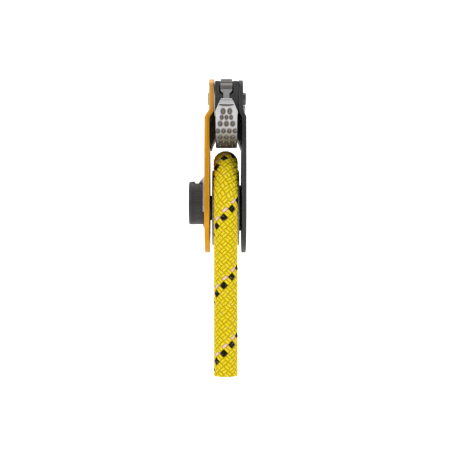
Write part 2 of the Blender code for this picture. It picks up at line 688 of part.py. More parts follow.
def knob_screw(paint):
    out = -KNOB_OUT
    top = out + 0.35
    profile = [(0, top), (3.0, top), (3.3, top + 0.25), (3.3, out + 1.1), (1.8, out + 1.1),
               (1.8, -9.8), (0, -9.8)]
    body = turned("knob_screw", profile, 28, centre=KNOB, pivot=AXLE, paint=paint)
    cut(body, rod("screw_socket", 1.3, out - 1.0, out + 0.95, KNOB, 6))


# ---------------------------------------------------------------- rope

def smooth_route(points, steps):
    """Places on a Catmull-Rom curve through the route's own points."""
    places = [Vector((0.0, y, z)) for y, z in points]
    places = [2 * places[0] - places[1]] + places + [2 * places[-1] - places[-2]]
    curve = []
    for i in range(1, len(places) - 2):
        a, b, c, d = places[i - 1:i + 3]
        for step in range(steps):
            t = step / steps
            curve.append(0.5 * (2 * b + (c - a) * t + (2 * a - 5 * b + 4 * c - d) * t ** 2
                                + (3 * b - a - 3 * c + d) * t ** 3))
    return curve + [places[-2]]


def rope(paint):
    curve = bpy.data.curves.new("rope", "CURVE")
    curve.dimensions = "3D"
    curve.bevel_depth = ROPE_R * MM
    curve.bevel_resolution = 3
    curve.use_fill_caps = True
    curve.resolution_u = 1
    curve.render_resolution_u = 0
    spline = curve.splines.new("POLY")
    points = smooth_route(ROPE_ROUTE, ROPE_STEPS)
    spline.points.add(len(points) - 1)
    for knot, place in zip(spline.points, points):
        knot.co = (*(place * MM), 1.0)
    curve.materials.append(paint)
    made = bpy.data.objects.new("rope", curve)
    made.location = at(0.0, 0.0, 0.0)
    bpy.context.scene.collection.objects.link(made)


# ---------------------------------------------------------------- the whole part

def build():
    for thing in list(bpy.data.objects):
        bpy.data.objects.remove(thing, do_unlink=True)
    orange = material("orange_anodised", (0.62, 0.25, 0.01), 0.32, 1.0)
    black = material("black_anodised", (0.03, 0.03, 0.032), 0.4, 0.6)
    housing = material("black_housing", (0.05, 0.05, 0.052), 0.55, 0.3)
    steel = material("bright_steel", (0.6, 0.59, 0.58), 0.28, 1.0)
    dark_steel = material("dark_steel", (0.12, 0.12, 0.12), 0.35, 1.0)
    cast_grey = material("catch_grey", (0.26, 0.26, 0.26), 0.45, 0.8)
    silver = material("silver_cover", (0.6, 0.58, 0.57), 0.35, 0.9)
    nylon = material("black_nylon", (0.035, 0.037, 0.04), 0.55, 0.0)
    alloy = material("sheave_alloy", (0.5, 0.5, 0.5), 0.35, 1.0)
    brass = material("cage_brass", (0.55, 0.38, 0.14), 0.35, 1.0)
    rubber = material("seal_rubber", (0.02, 0.02, 0.02), 0.8, 0.0)
    yarn = material("rope_yarn", (0.8, 0.62, 0.02), 0.8, 0.0)

    fixed_side_plate(black)
    swinging_side_plate(orange)
    pins_and_rivets(steel, dark_steel)
    sheave(alloy)
    bearing(steel, brass, rubber)
    retaining_ring(steel)
    axle_and_spacers(steel, black)
    pivot_bush(steel)
    lock_cover(silver)
    lock_knob(nylon)
    knob_screw(steel)
    coil("knob_torsion_spring", KNOB, 4.0, 0.7, -13.9, -12.2, 2.25, 1.5, steel)
    rope(yarn)

    centred = set(bpy.data.objects)
    housing_block(housing)
    cam(steel)
    coil("cam_torsion_spring", PIVOT, 2.6, 0.55, 0.85, 2.25, 2.25, 1.6, steel)
    catch_lever(cast_grey)
    rod("catch_pin", CATCH_PIN_R, -4.9, 4.9, CATCH, 16, paint=dark_steel)
    coil("catch_torsion_spring", CATCH, 1.3, 0.35, 1.1, 2.4, 2.5, 0.9, steel)
    for thing in set(bpy.data.objects) - centred:
        thing.location.x += BLOCK_ASIDE * MM


build()
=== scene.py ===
"""The looks of the toothed-cam pulley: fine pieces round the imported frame, and every material.

Pieces are made in millimetres from the sheave's axle (X across the plates, +Y to the back, +Z up),
the way the frame's own model is measured, and settle() moves each one into the frame in metres.
"""

import bmesh
import bpy
import json
import math
import numpy as np
from mathutils import Matrix, Vector


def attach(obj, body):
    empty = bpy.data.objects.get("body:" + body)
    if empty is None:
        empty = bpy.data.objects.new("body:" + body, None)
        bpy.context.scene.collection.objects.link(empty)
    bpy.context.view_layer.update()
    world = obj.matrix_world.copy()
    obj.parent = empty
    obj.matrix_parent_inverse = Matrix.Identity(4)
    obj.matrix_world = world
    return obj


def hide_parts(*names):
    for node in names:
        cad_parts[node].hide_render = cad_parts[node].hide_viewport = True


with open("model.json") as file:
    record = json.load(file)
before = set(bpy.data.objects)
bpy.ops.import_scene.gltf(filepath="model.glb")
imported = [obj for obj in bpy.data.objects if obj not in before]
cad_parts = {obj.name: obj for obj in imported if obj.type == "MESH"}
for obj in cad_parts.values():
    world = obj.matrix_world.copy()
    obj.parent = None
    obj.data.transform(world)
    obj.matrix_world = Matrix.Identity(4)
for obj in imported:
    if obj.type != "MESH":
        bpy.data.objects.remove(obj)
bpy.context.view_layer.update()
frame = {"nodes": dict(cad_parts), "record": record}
NODES = frame["nodes"]

MM = 0.001
EYE_BACK, EYE_HIGH = 6.5, 51.0
INTO_FRAME = Matrix.Scale(MM, 4) @ Matrix.Translation((0.0, -EYE_BACK, -EYE_HIGH))
BODY_OF = {node: body for body, nodes in frame["record"]["behaviour"]["bodies"].items() for node in nodes}
SLOT_OF = {part["node"]: part["material_slot"] for part in frame["record"]["subparts"]}

# Sizes shared with the frame's model, in mm
FIXED_WIDE, FIXED_NARROW, FIXED_THICK = 9.4, 7.95, 2.1
SWING_WIDE, SWING_NARROW, SWING_THICK = 9.7, 7.65, 2.4
BEND_LOW, BEND_HIGH = 40.6, 44.9
PLATE_R = 21.0
FIXED_TOP, SWING_TOP = 58.6, 59.1
EYE_R = 6.5
AXLE_R = 4.0
TREAD_R, FLANGE_R, SHEAVE_HALF, GROOVE_R = 13.3, 17.7, 6.3, 5.8
BORE_R = 11.2
BEARING_HALF = 3.0
PIN_R, STUD_R, RIVET_R, BUSH_R = 1.75, 1.9, 0.9, 7.0
CAM_HALF, WEB_HALF, HUB_R, ARM_R = 4.9, 2.4, 4.2, 9.3
BLOCK_ASIDE = 0.3
BLOCK_LEFT, BLOCK_RIGHT, CHANNEL_HALF = 5.3, 5.45, 5.35
CHEEK_LEFT, CHEEK_RIGHT, CHEEK_R = 7.45, 6.85, 40.4
CHEEK_FRONT, CHEEK_BACK, CHEEK_LOW = -8.0, 15.0, 27.4
BLOCK_FRONT, BLOCK_BACK, BLOCK_TOP, HEEL_LOW = -15.3, 16.0, 58.7, 32.4
CATCH_HALF, CATCH_PIN_R = 2.65, 0.75
KNOB_R, KNOB_OUT, COVER_R, COVER_OUT = 10.15, 17.1, 12.2, -12.45
ROPE_R = 5.5
FIT = 0.25
TOUCH = 0.2

AXLE = (0.0, 0.0)
EYE = (EYE_BACK, EYE_HIGH)
PIVOT = (-9.0, 50.1)
CATCH = (-11.7, 56.0)
KNOB = (0.0, 2.35)
COVER = (0.0, 2.9)
RIVETS = ((-2.5, 46.4), (13.9, 46.4), (-3.2, 57.2))
COVER_RIVETS = ((0.0, 9.6), (-6.8, 6.2), (6.8, 6.2))


# ---------------- camera, floor and light

def add(name, data):
    made = bpy.data.objects.new(name, data)
    bpy.context.scene.collection.objects.link(made)
    return made


def place_camera():
    data = bpy.data.cameras.new("camera")
    data.lens = 78.3
    data.sensor_width = 36.0
    data.clip_start = 0.01
    camera = add("camera", data)
    camera.location = (-0.00033, -0.4665, -0.059)
    camera.rotation_euler = (math.radians(90), 0, 0)
    bpy.context.scene.camera = camera


def plain_sheet(name, corners, glow):
    """A pale stage surface; glow is the light it gives itself, so that it shows as white."""
    mesh = bpy.data.meshes.new(name)
    mesh.from_pydata(corners, [], [(0, 1, 2, 3)])
    made = add(name, mesh)
    paint = bpy.data.materials.new(name)
    paint.use_nodes = True
    shader = paint.node_tree.nodes["Principled BSDF"]
    looks = {"Base Color": (0.92, 0.92, 0.92, 1), "Roughness": 0.9, "Specular IOR Level": 0.0,
             "Emission Color": (1, 1, 1, 1), "Emission Strength": glow}
    for socket, value in looks.items():
        shader.inputs[socket].default_value = value
    mesh.materials.append(paint)


def softbox(name, place, size, power, target=(0, 0, -0.04)):
    data = bpy.data.lights.new(name, "AREA")
    data.shape = "RECTANGLE"
    data.size, data.size_y = size
    data.energy = power
    light = add(name, data)
    light.location = place
    aim = Vector(target) - Vector(place)
    light.rotation_euler = aim.to_track_quat("-Z", "Y").to_euler()


def set_stage():
    low, back, wide, high = -0.26, 1.2, 1.5, 1.2
    near_left, near_right = (-wide, -wide, low), (wide, -wide, low)
    far_left, far_right = (-wide, back, low), (wide, back, low)
    plain_sheet("floor", [near_left, near_right, far_right, far_left], 0.5)
    plain_sheet("backdrop", [far_left, far_right, (wide, back, high), (-wide, back, high)], 0.7)
    softbox("key_light", (-0.42, -0.55, 0.35), (0.50, 0.50), 2.6)
    softbox("fill_light", (0.50, -0.40, 0.10), (0.35, 0.45), 1.2)
    softbox("top_light", (0.0, 0.10, 0.60), (0.40, 0.40), 1.5)
    world = bpy.data.worlds.new("studio")
    world.use_nodes = True
    sky = world.node_tree.nodes["Background"]
    sky.inputs["Color"].default_value = (1.0, 1.0, 1.0, 1)
    sky.inputs["Strength"].default_value = 0.55
    bpy.context.scene.world = world
    bpy.context.scene.view_settings.view_transform = "Standard"


# ---------------- materials

class Paint:
    """One material's node tree, built up in words."""

    def __init__(self, name, color, roughness, metallic=0.0):
        self.material = bpy.data.materials.new(name)
        self.material.use_nodes = True
        self.tree = self.material.node_tree
        self.shader = self.tree.nodes["Principled BSDF"]
        self.shader.inputs["Metallic"].default_value = metallic
        self.space = self.tree.nodes.new("ShaderNodeTexCoord").outputs["Object"]
        self.color = self.solid(color)
        self.rough = self.number(roughness)
        self.heights = []

    def link(self, out, into):
        self.tree.links.new(out, into)

    def node(self, kind, **values):
        """A new node with its inputs set; an underscore in a name stands for a space."""
        made = self.tree.nodes.new("ShaderNode" + kind)
        for name, value in values.items():
            made.inputs[name.replace("_", " ")].default_value = value
        return made

    def solid(self, color):
        out = self.node("RGB").outputs[0]
        out.default_value = (*color, 1)
        return out

    def number(self, value):
        out = self.node("Value").outputs[0]
        out.default_value = value
        return out

    def noise(self, size, stretch=(1, 1, 1), detail=3.0):
        """Cloudy noise from 0 to 1; size is the width of a blotch in mm."""
        node = self.node("TexNoise", Scale=1000.0 / size, Detail=detail)
        mapping = self.node("Mapping", Scale=stretch)
        self.link(self.space, mapping.inputs["Vector"])
        self.link(mapping.outputs[0], node.inputs["Vector"])
        return node.outputs["Fac"]

    def mark(self, name):
        """A number stored on the mesh, such as how much each place is painted lighter for wear and highlight,
        or darker for shade and dirt.
        """
        node = self.node("Attribute")
        node.attribute_name = name
        return node.outputs["Fac"]

    def ramp(self, value, low, high, to_low=0.0, to_high=1.0):
        node = self.node("MapRange", From_Min=low, From_Max=high, To_Min=to_low, To_Max=to_high)
        self.link(value, node.inputs["Value"])
        return node.outputs[0]

    def maths(self, operation, one, two):
        node = self.node("Math")
        node.operation = operation
        for socket, value in zip(node.inputs, (one, two)):
            if isinstance(value, (int, float)):
                socket.default_value = value
            else:
                self.link(value, socket)
        return node.outputs[0]

    def tint(self, amount, color, blend="MIX"):
        """Mixes a colour over what is there, by a value from 0 to 1."""
        node = self.node("Mix")
        node.data_type = "RGBA"
        node.blend_type = blend
        self.link(amount, node.inputs["Factor"])
        self.link(self.color, node.inputs["A"])
        node.inputs["B"].default_value = (*color, 1)
        self.color = node.outputs["Result"]

    def blotch(self, size, low, amount, color, high=0.75):
        """Tints cloudy patches, size mm wide, where the noise is above low."""
        self.tint(self.ramp(self.noise(size), low, high, 0.0, amount), color)

    def roughen(self, value, low, high):
        """Roughness goes from low to high as the value goes from 0 to 1."""
        self.rough = self.ramp(value, 0.25, 0.75, low, high)

    def raise_by(self, value, height):
        """Adds relief; height is in mm."""
        self.heights.append((value, height))

    def done(self):
        self.link(self.color, self.shader.inputs["Base Color"])
        self.link(self.rough, self.shader.inputs["Roughness"])
        normal = None
        for value, height in self.heights:
            node = self.node("Bump", Strength=1.0, Distance=height * MM)
            self.link(value, node.inputs["Height"])
            if normal is not None:
                self.link(normal, node.inputs["Normal"])
            normal = node.outputs["Normal"]
        if normal is not None:
            self.link(normal, self.shader.inputs["Normal"])
        return self.material


def anodised(name, color, wear_and_highlight, deep, roughness, metallic, top_reflection):
    """Satin anodised plate: fine blasted grain, faint rolling streaks, paler edges that are part wear and
    part painted highlight, and a paler upper end that is a painted reflection."""
    paint = Paint(name, color, roughness, metallic)
    split = paint.node("SeparateXYZ")
    paint.link(paint.space, split.inputs[0])
    # painted reflection: the upper end of the plate is tinted paler
    paint.tint(paint.ramp(split.outputs["Z"], -0.012, 0.006, 0.0, 0.9), top_reflection)
    grain = paint.noise(0.22, detail=4.0)
    streak = paint.noise(0.35, stretch=(1, 1, 0.06))
    cloud = paint.noise(9.0)
    paint.tint(paint.ramp(streak, 0.45, 0.75, 0.0, 0.30), wear_and_highlight)
    paint.tint(paint.ramp(cloud, 0.5, 0.7, 0.0, 0.22), deep)
    nick = paint.ramp(paint.noise(1.1), 0.42, 0.62)
    # edges paler: part wear, part painted highlight
    paint.tint(paint.maths("MULTIPLY", paint.mark("edge"), paint.ramp(nick, 0, 1, 0.25, 0.8)), wear_and_highlight)
    paint.roughen(paint.noise(1.6), roughness - 0.06, roughness + 0.10)
    paint.raise_by(grain, 0.012)
    paint.raise_by(streak, 0.01)
    return paint.done()


def cast(name, color, wear_and_highlight, roughness, metallic, grain_height=0.03):
    """Cast and tumbled metal: soft pebbled skin, edges lighter with wear and painted highlight, and places
    marked darker, hollows among them, with painted shade and dirt.
    """
    paint = Paint(name, color, roughness, metallic)
    pebble = paint.noise(0.45, detail=2.0)
    paint.blotch(3.5, 0.4, 0.25, tuple(c * 0.6 for c in color))
    # edges lighter: part wear, part painted highlight
    paint.tint(paint.ramp(paint.mark("edge"), 0.05, 0.5, 0.0, 0.7), wear_and_highlight)
    # painted shade and dirt: darker where the mesh's darkening mark is
    paint.tint(paint.mark("shade_and_dirt"), (0.09, 0.075, 0.06))
    paint.roughen(paint.noise(0.9), roughness - 0.07, roughness + 0.12)
    paint.raise_by(pebble, grain_height)
    paint.raise_by(paint.noise(0.12), 0.006)
    return paint.done()


def turned_metal(name, color, roughness, ring_size=0.16):
    """Lathe-cut metal: fine lines round the X axis, and slight tarnish."""
    paint = Paint(name, color, roughness, 1.0)
    lines = paint.noise(ring_size, stretch=(1, 0.1, 0.1))
    paint.blotch(2.2, 0.45, 0.35, tuple(c * 0.62 for c in color))
    paint.tint(paint.ramp(lines, 0.5, 0.7, 0.0, 0.25), tuple(min(1.0, c * 1.25) for c in color))
    # darker with painted shade and dirt where the mesh has that mark
    paint.tint(paint.mark("shade_and_dirt"), (0.08, 0.07, 0.06))
    paint.roughen(paint.noise(0.8), roughness - 0.05, roughness + 0.12)
    paint.raise_by(lines, 0.006)
    return paint.done()


def moulded(name, color, roughness, grain=0.3, height=0.02):
    """Moulded plastic: spark-eroded texture, handling shine and lighter corners."""
    paint = Paint(name, color, roughness)
    texture = paint.noise(grain, detail=2.0)
    paint.blotch(2.5, 0.45, 0.5, tuple(c * 1.8 for c in color))
    # corners lighter: part wear, part painted highlight
    paint.tint(paint.ramp(paint.mark("edge"), 0.0, 1.0, 0.0, 0.45), tuple(c * 4.0 for c in color))
    paint.roughen(paint.noise(1.8), roughness - 0.08, roughness + 0.10)
    paint.raise_by(texture, height)
    return paint.done()


def yarn():
    """Sheath yarn: the strand's own colour from the mesh, broken up by filaments."""
    paint = Paint("rope_yarn", (0.8, 0.62, 0.02), 0.8)
    node = paint.node("Attribute")
    node.attribute_name = "strand"
    paint.color = node.outputs["Color"]
    filament = paint.mark("filament")
    paint.tint(paint.ramp(filament, 0.2, 0.9, 0.35, 0.0), (0.30, 0.17, 0.004), "MULTIPLY")
    # painted shade: the valleys between the yarns are darkened
    paint.tint(paint.ramp(paint.mark("valley"), 0.0, 0.55, 0.75, 0.0), (0.42, 0.27, 0.01), "MULTIPLY")
    paint.blotch(1.3, 0.55, 0.22, (0.95, 0.86, 0.45), high=0.8)
    paint.roughen(paint.noise(0.5), 0.62, 0.85)
    paint.raise_by(paint.noise(0.14), 0.03)
    paint.shader.inputs["Specular IOR Level"].default_value = 0.12
    paint.shader.inputs["Sheen Weight"].default_value = 0.04
    paint.shader.inputs["Sheen Roughness"].default_value = 0.5
    return paint.done()


def make_paints():
    return {
        "orange_plate": anodised("orange_anodised", (0.56, 0.255, 0.008), (0.60, 0.36, 0.11),
                                 (0.46, 0.17, 0.004), 0.46, 1.0, (0.46, 0.26, 0.09)),
        "black_plate": anodised("black_anodised", (0.0085, 0.0085, 0.009), (0.026, 0.026, 0.027),
                                (0.006, 0.006, 0.0065), 0.50, 0.0, (0.010, 0.010, 0.0105)),
        "housing": cast("housing_grey", (0.014, 0.014, 0.0143), (0.05, 0.05, 0.05), 0.62, 0.0, 0.025),
        "bright_steel": turned_metal("bright_steel", (0.36, 0.35, 0.345), 0.34),
        "dark_steel": turned_metal("dark_steel", (0.11, 0.10, 0.11), 0.36),
        "spring_steel": turned_metal("spring_steel", (0.40, 0.39, 0.38), 0.30),
        "hub_spacer": moulded("hub_spacer_black", (0.010, 0.010, 0.010), 0.62),
        "seal": moulded("seal_rubber", (0.012, 0.012, 0.012), 0.72, 0.2),
        "cage": turned_metal("cage_brass", (0.62, 0.40, 0.13), 0.32),
        "ball": turned_metal("ball_steel", (0.70, 0.70, 0.70), 0.14, 0.5),
        "sheave": turned_metal("sheave_alloy", (0.26, 0.26, 0.27), 0.40),
        "cam_steel": cast("cam_steel", (0.46, 0.455, 0.46), (0.66, 0.65, 0.66), 0.44, 0.9, 0.03),
        "catch": cast("catch_grey", (0.29, 0.285, 0.288), (0.40, 0.39, 0.395), 0.50, 0.9, 0.015),
        "cover": turned_metal("cover_silver", (0.44, 0.425, 0.42), 0.44, 0.3),
        "knob": moulded("knob_nylon", (0.0075, 0.0078, 0.0085), 0.52),
        "rope": yarn(),
    }


# ---------------- building tools

TOOLS = []


def new_object(edit):
    bmesh.ops.recalc_face_normals(edit, faces=edit.faces)
    mesh = bpy.data.meshes.new("piece")
    edit.to_mesh(mesh)
    edit.free()
    return add("piece", mesh)


def loft(rings):
    """Skins a list of rings of points, each with the same count, and caps both ends."""
    edit = bmesh.new()
    rows = [[edit.verts.new(point) for point in ring] for ring in rings]
    skin(edit, rows)
    return new_object(edit)


def skin(edit, rows):
    """Quads from each row of vertices to the next, and a face at each end."""
    count = len(rows[0])
    for here, there in zip(rows, rows[1:]):
        for j in range(count):
            k = (j + 1) % count
            edit.faces.new((here[j], here[k], there[k], there[j]))
    edit.faces.new(rows[0])
    edit.faces.new(rows[-1])


def prism_x(outline, low, high):
    return loft([[(x, y, z) for y, z in outline] for x in (low, high)])


def prism_y(outline, low, high):
    return loft([[(x, y, z) for x, z in outline] for y in (low, high)])


def turned(profile, steps=96, centre=AXLE, phase=0.0):
    """A closed (radius, x) profile turned about the X line through centre; radius 0 is a pole."""
    edit = bmesh.new()
    poles = {i: edit.verts.new((x, *centre)) for i, (r, x) in enumerate(profile) if r == 0}
    rings = []
    for step in range(steps):
        angle = 2 * math.pi * (step + phase) / steps
        rings.append([poles[i] if i in poles else
                      edit.verts.new((x, centre[0] + r * math.sin(angle), centre[1] + r * math.cos(angle)))
                      for i, (r, x) in enumerate(profile)])
    for step in range(steps):
        here, there = rings[step], rings[(step + 1) % steps]
        for i in range(len(profile)):
            j = (i + 1) % len(profile)
            corners = list(dict.fromkeys((here[i], here[j], there[j], there[i])))
            if len(corners) > 2:
                edit.faces.new(corners)
    return new_object(edit)


def rod(radius, low, high, centre, steps=48):
    return turned([(0, low), (radius, low), (radius, high), (0, high)], steps, centre, 0.37)


def boolean(target, other, operation):
    change = target.modifiers.new(operation.lower(), "BOOLEAN")
    change.operation = operation
    change.solver = "EXACT"
    change.object = other
    TOOLS.append(other)


def cut(target, *others):
    for other in others:
        boolean(target, other, "DIFFERENCE")


def cut_both(target, shape, low, high):
    """Cuts an (x, z) shape from the left side and from the right."""
    for way in (-1, 1):
        cut(target, prism_y([(way * x, z) for x, z in shape], low, high))


def join(target, *others):
    for other in others:
        boolean(target, other, "UNION")


def cast_skin(target, voxel, smoothing):
    """Melts the cut solid into one skin with small fillets, as a casting has."""
    remesh = target.modifiers.new("skin", "REMESH")
    remesh.mode = "VOXEL"
    remesh.voxel_size = voxel
    smooth = target.modifiers.new("fillets", "SMOOTH")
    smooth.factor = 0.5
    smooth.iterations = smoothing


def coordinates(mesh):
    """Every vertex's place, one row each."""
    place = np.empty(len(mesh.vertices) * 3)
    mesh.vertices.foreach_get("co", place)
    return place.reshape(-1, 3)


def bake(made):
    """Applies the modifiers and drops the tools that they used."""
    depsgraph = bpy.context.evaluated_depsgraph_get()
    mesh = bpy.data.meshes.new_from_object(made.evaluated_get(depsgraph))
    made.modifiers.clear()
    made.data = mesh
    while TOOLS:
        bpy.data.objects.remove(TOOLS.pop(), do_unlink=True)


def arc(centre, radius, start, end, steps):
    """Points on a circle in the (y, z) plane; degrees, 0 along +y and 90 up."""
    angles = [math.radians(start + (end - start) * step / steps) for step in range(steps + 1)]
    return [(centre[0] + radius * math.cos(a), centre[1] + radius * math.sin(a)) for a in angles]


def rounded(corners, degrees=4.0):
    """A closed outline from (a, b, radius) corners, each corner turned into an arc."""
    outline = []
    for i, (a, b, radius) in enumerate(corners):
        here = Vector((a, b))
        if radius == 0:
            outline.append((a, b))
            continue
        back = (Vector(corners[i - 1][:2]) - here).normalized()
        ahead = (Vector(corners[(i + 1) % len(corners)][:2]) - here).normalized()
        half = back.angle(ahead) / 2
        middle = here + (back + ahead).normalized() * (radius / math.sin(half))
        first = here + back * (radius / math.tan(half)) - middle
        turn = math.pi - 2 * half
        if back.cross(ahead) > 0:
            turn = -turn
        steps = max(1, round(abs(math.degrees(turn)) / degrees))
        for step in range(steps + 1):
            point = middle + Matrix.Rotation(turn * step / steps, 2) @ first
            outline.append(tuple(point))
    return outline


def mirrored(right):
    """Corners up the right side, and the same ones down the left."""
    return right + [(-x, z, radius) for x, z, radius in reversed(right)]


def mark_relief(mesh, strength):
    """Stores "edge" where the surface is convex, for edges lighter with wear and painted highlight, and a
    darkening mark where it is hollow, for painted shade and dirt.
    """
    count = len(mesh.vertices)
    place = coordinates(mesh)
    normal = np.empty(count * 3)
    mesh.vertex_normals.foreach_get("vector", normal)
    normal = normal.reshape(-1, 3)
    pairs = np.empty(len(mesh.edges) * 2, dtype=np.int64)
    mesh.edges.foreach_get("vertices", pairs)
    one, two = pairs.reshape(-1, 2).T
    way = place[two] - place[one]
    way /= np.maximum(np.linalg.norm(way, axis=1, keepdims=True), 1e-9)
    bend = np.zeros(count)
    shares = np.zeros(count)
    for here, along in ((one, way), (two, -way)):
        np.add.at(bend, here, -np.einsum("ij,ij->i", normal[here], along))
        np.add.at(shares, here, 1.0)
    bend /= np.maximum(shares, 1.0)
    for _ in range(2):
        spread = np.zeros(count)
        np.add.at(spread, one, bend[two])
        np.add.at(spread, two, bend[one])
        bend = 0.5 * bend + 0.5 * spread / np.maximum(shares, 1.0)
    store(mesh, "edge", np.clip(bend * 4.0 * strength, 0, 1), "POINT")
    # hollow places: painted shade and dirt
    store(mesh, "shade_and_dirt", np.clip(-bend * 3.0 * strength, 0, 0.6), "POINT")


def store(mesh, name, values, domain):
    if name in mesh.attributes:
        mesh.attributes.remove(mesh.attributes[name])
    mesh.attributes.new(name, "FLOAT", domain).data.foreach_set("value", np.asarray(values, dtype=np.float32))


def mark_corners(mesh, width=0.22):
    """Stores "edge" as 1 on the narrow faces that round the corners."""
    edit = bmesh.new()
    edit.from_mesh(mesh)
    wear_and_highlight = []
    for face in edit.faces:
        narrow = min(side.calc_length() for side in face.edges) < width
        bent = max(side.calc_face_angle(0.0) for side in face.edges) > 0.12
        wear_and_highlight.append(1.0 if narrow and bent else 0.0)
    edit.free()
    store(mesh, "edge", wear_and_highlight, "FACE")


def settle(made, node, smooth=32.0, aside=0.0):
    """Moves the finished piece into the frame, and has it stand for its CAD node."""
    made.name = "fine_" + node
    made.data.name = made.name
    made.data.transform(INTO_FRAME @ Matrix.Translation((aside, 0, 0)))
    made.data.materials.clear()
    made.data.materials.append(PAINTS[SLOT_OF[node]])
    for face in made.data.polygons:
        face.material_index = 0
    made.data.shade_smooth()
    made.data.set_sharp_from_angle(angle=math.radians(smooth))
    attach(made, BODY_OF[node])
    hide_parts(node)


def settle_cut(made, node, smooth=32.0):
    """Finishes a machined or moulded piece."""
    bake(made)
    mark_corners(made.data)
    settle(made, node, smooth)


def settle_cast(made, node, voxel, smoothing, relief, shade_and_dirt_marks=None):
    """Finishes a cast piece of the housing's assembly, with its own marks of painted shade and dirt if it has
    any.
    """
    cast_skin(made, voxel, smoothing)
    bake(made)
    mark_relief(made.data, relief)
    if shade_and_dirt_marks is not None:
        shade_and_dirt_marks(made.data)
    settle(made, node, 45.0, BLOCK_ASIDE)


# ---------------- side plates

EDGE_STEPS = 4
BEND_SLIP = 0.5              # how much lower the inner face bends than the outer one
BEND_BANDS = 18


def dense(outline, step):
    """The same closed outline with no side longer than step."""
    points = []
    for here, there in zip(outline, outline[1:] + outline[:1]):
        count = max(1, math.ceil(math.dist(here, there) / step))
        points += [(here[0] + (there[0] - here[0]) * i / count, here[1] + (there[1] - here[1]) * i / count)
                   for i in range(count)]
    return points


def inset(outline, depth):
    """The closed outline moved inwards by depth, or outwards if depth is negative."""
    points = np.array(outline)
    ahead = np.roll(points, -1, axis=0) - points
    ahead /= np.linalg.norm(ahead, axis=1, keepdims=True)
    back = np.roll(ahead, 1, axis=0)
    left_of = np.stack([-ahead[:, 1] - back[:, 1], ahead[:, 0] + back[:, 0]], axis=1)
    left_of /= np.linalg.norm(left_of, axis=1, keepdims=True)
    lean = np.abs(left_of[:, 1] * ahead[:, 0] - left_of[:, 0] * ahead[:, 1])
    following = np.roll(points, -1, axis=0)
    area = np.sum(points[:, 0] * following[:, 1] - following[:, 0] * points[:, 1])
    return points + np.sign(area) * depth * left_of / np.maximum(lean, 0.4)[:, None]


def is_inside(point, outline):
    crossings = 0
    for (a, b), (c, d) in zip(outline, outline[1:] + outline[:1]):
        if (b > point[1]) != (d > point[1]) and point[0] < (c - a) * (point[1] - b) / (d - b) + a:
            crossings += 1
    return crossings % 2 == 1


def bite(outline, mouth):
    """Cuts an open notch into an outline; mouth is the notch's path, from outside to outside."""
    path = [point for point in mouth if is_inside(point, outline)]
    gone = [is_inside(point, mouth) for point in outline]
    first = next(i for i in range(len(outline)) if gone[i] and not gone[i - 1])
    rest = [point for point in outline[first:] + outline[:first] if not is_inside(point, mouth)]
    if math.dist(rest[-1], path[0]) > math.dist(rest[-1], path[-1]):
        path.reverse()
    return rest + path


def circle(centre, radius, steps=72):
    return arc(centre, radius, 0, 360, steps)[:-1]


def sheet_metal(outline, holes, thick, round_edge=0.35):
    """A flat plate lying from x = 0 to x = thick with rounded edges and holes, each hole
    given as (outline, its own edge rounding)."""
    edit = bmesh.new()
    wear_and_highlight = edit.faces.layers.float.new("edge")
    caps = {0: [], 1: []}
    for shape, way, radius in [(outline, 1, round_edge)] + [(hole, -1, r) for hole, r in holes]:
        rings = []
        turns = [math.pi / 2 * i / EDGE_STEPS for i in range(EDGE_STEPS + 1)]
        levels = [(radius * (1 - math.sin(t)), radius * (1 - math.cos(t))) for t in turns]
        levels += [(deep, thick - x) for deep, x in reversed(levels)]
        for deep, x in levels:
            rings.append([edit.verts.new((x, y, z)) for y, z in inset(shape, way * deep)])
        for i, (one, two) in enumerate(zip(rings, rings[1:])):
            for j in range(len(one)):
                k = (j + 1) % len(one)
                face = edit.faces.new((one[j], one[k], two[k], two[j]))
                face[wear_and_highlight] = 0.0 if i == EDGE_STEPS else 1.0
        for side, ring in ((0, rings[0]), (1, rings[-1])):
            for j in range(len(ring)):
                caps[side].append(edit.edges.get((ring[j], ring[(j + 1) % len(ring)])))
    for edges in caps.values():
        bmesh.ops.triangle_fill(edit, use_beauty=True, edges=edges)
    for band in range(BEND_BANDS + 1):
        high = BEND_LOW - BEND_SLIP + (BEND_HIGH - BEND_LOW + BEND_SLIP) * band / BEND_BANDS
        parts = edit.verts[:] + edit.edges[:] + edit.faces[:]
        bmesh.ops.bisect_plane(edit, geom=parts, plane_co=(0, 0, high), plane_no=(0, 0, 1))
    return new_object(edit)


def bend(made, wide, narrow, thick, side):
    """Joggles the flat plate: its outer face is at wide below the bend and at narrow above it."""
    for vertex in made.data.vertices:
        x, _, z = vertex.co
        share = (z + BEND_SLIP * x / thick - BEND_LOW) / (BEND_HIGH - BEND_LOW)
        share = min(1.0, max(0.0, share))
        ease = share * share * (3 - 2 * share)
        vertex.co.x = side * (wide + (narrow - wide) * ease - x)
    if side > 0:
        made.data.flip_normals()


def plate_outline(top):
    top_back = EYE_BACK + EYE_R + 4.0
    return dense(rounded([
        (-PLATE_R, -PLATE_R, PLATE_R - 0.01), (PLATE_R, -PLATE_R, PLATE_R - 0.01),
        (PLATE_R, 24.0, 50.0), (top_back, 47.0, 30.0), (top_back, top, 6.0),
        (-14.4, top, 6.0), (-16.8, 44.0, 60.0), (-PLATE_R, 24.0, 50.0),
    ], 3.0), 0.5)


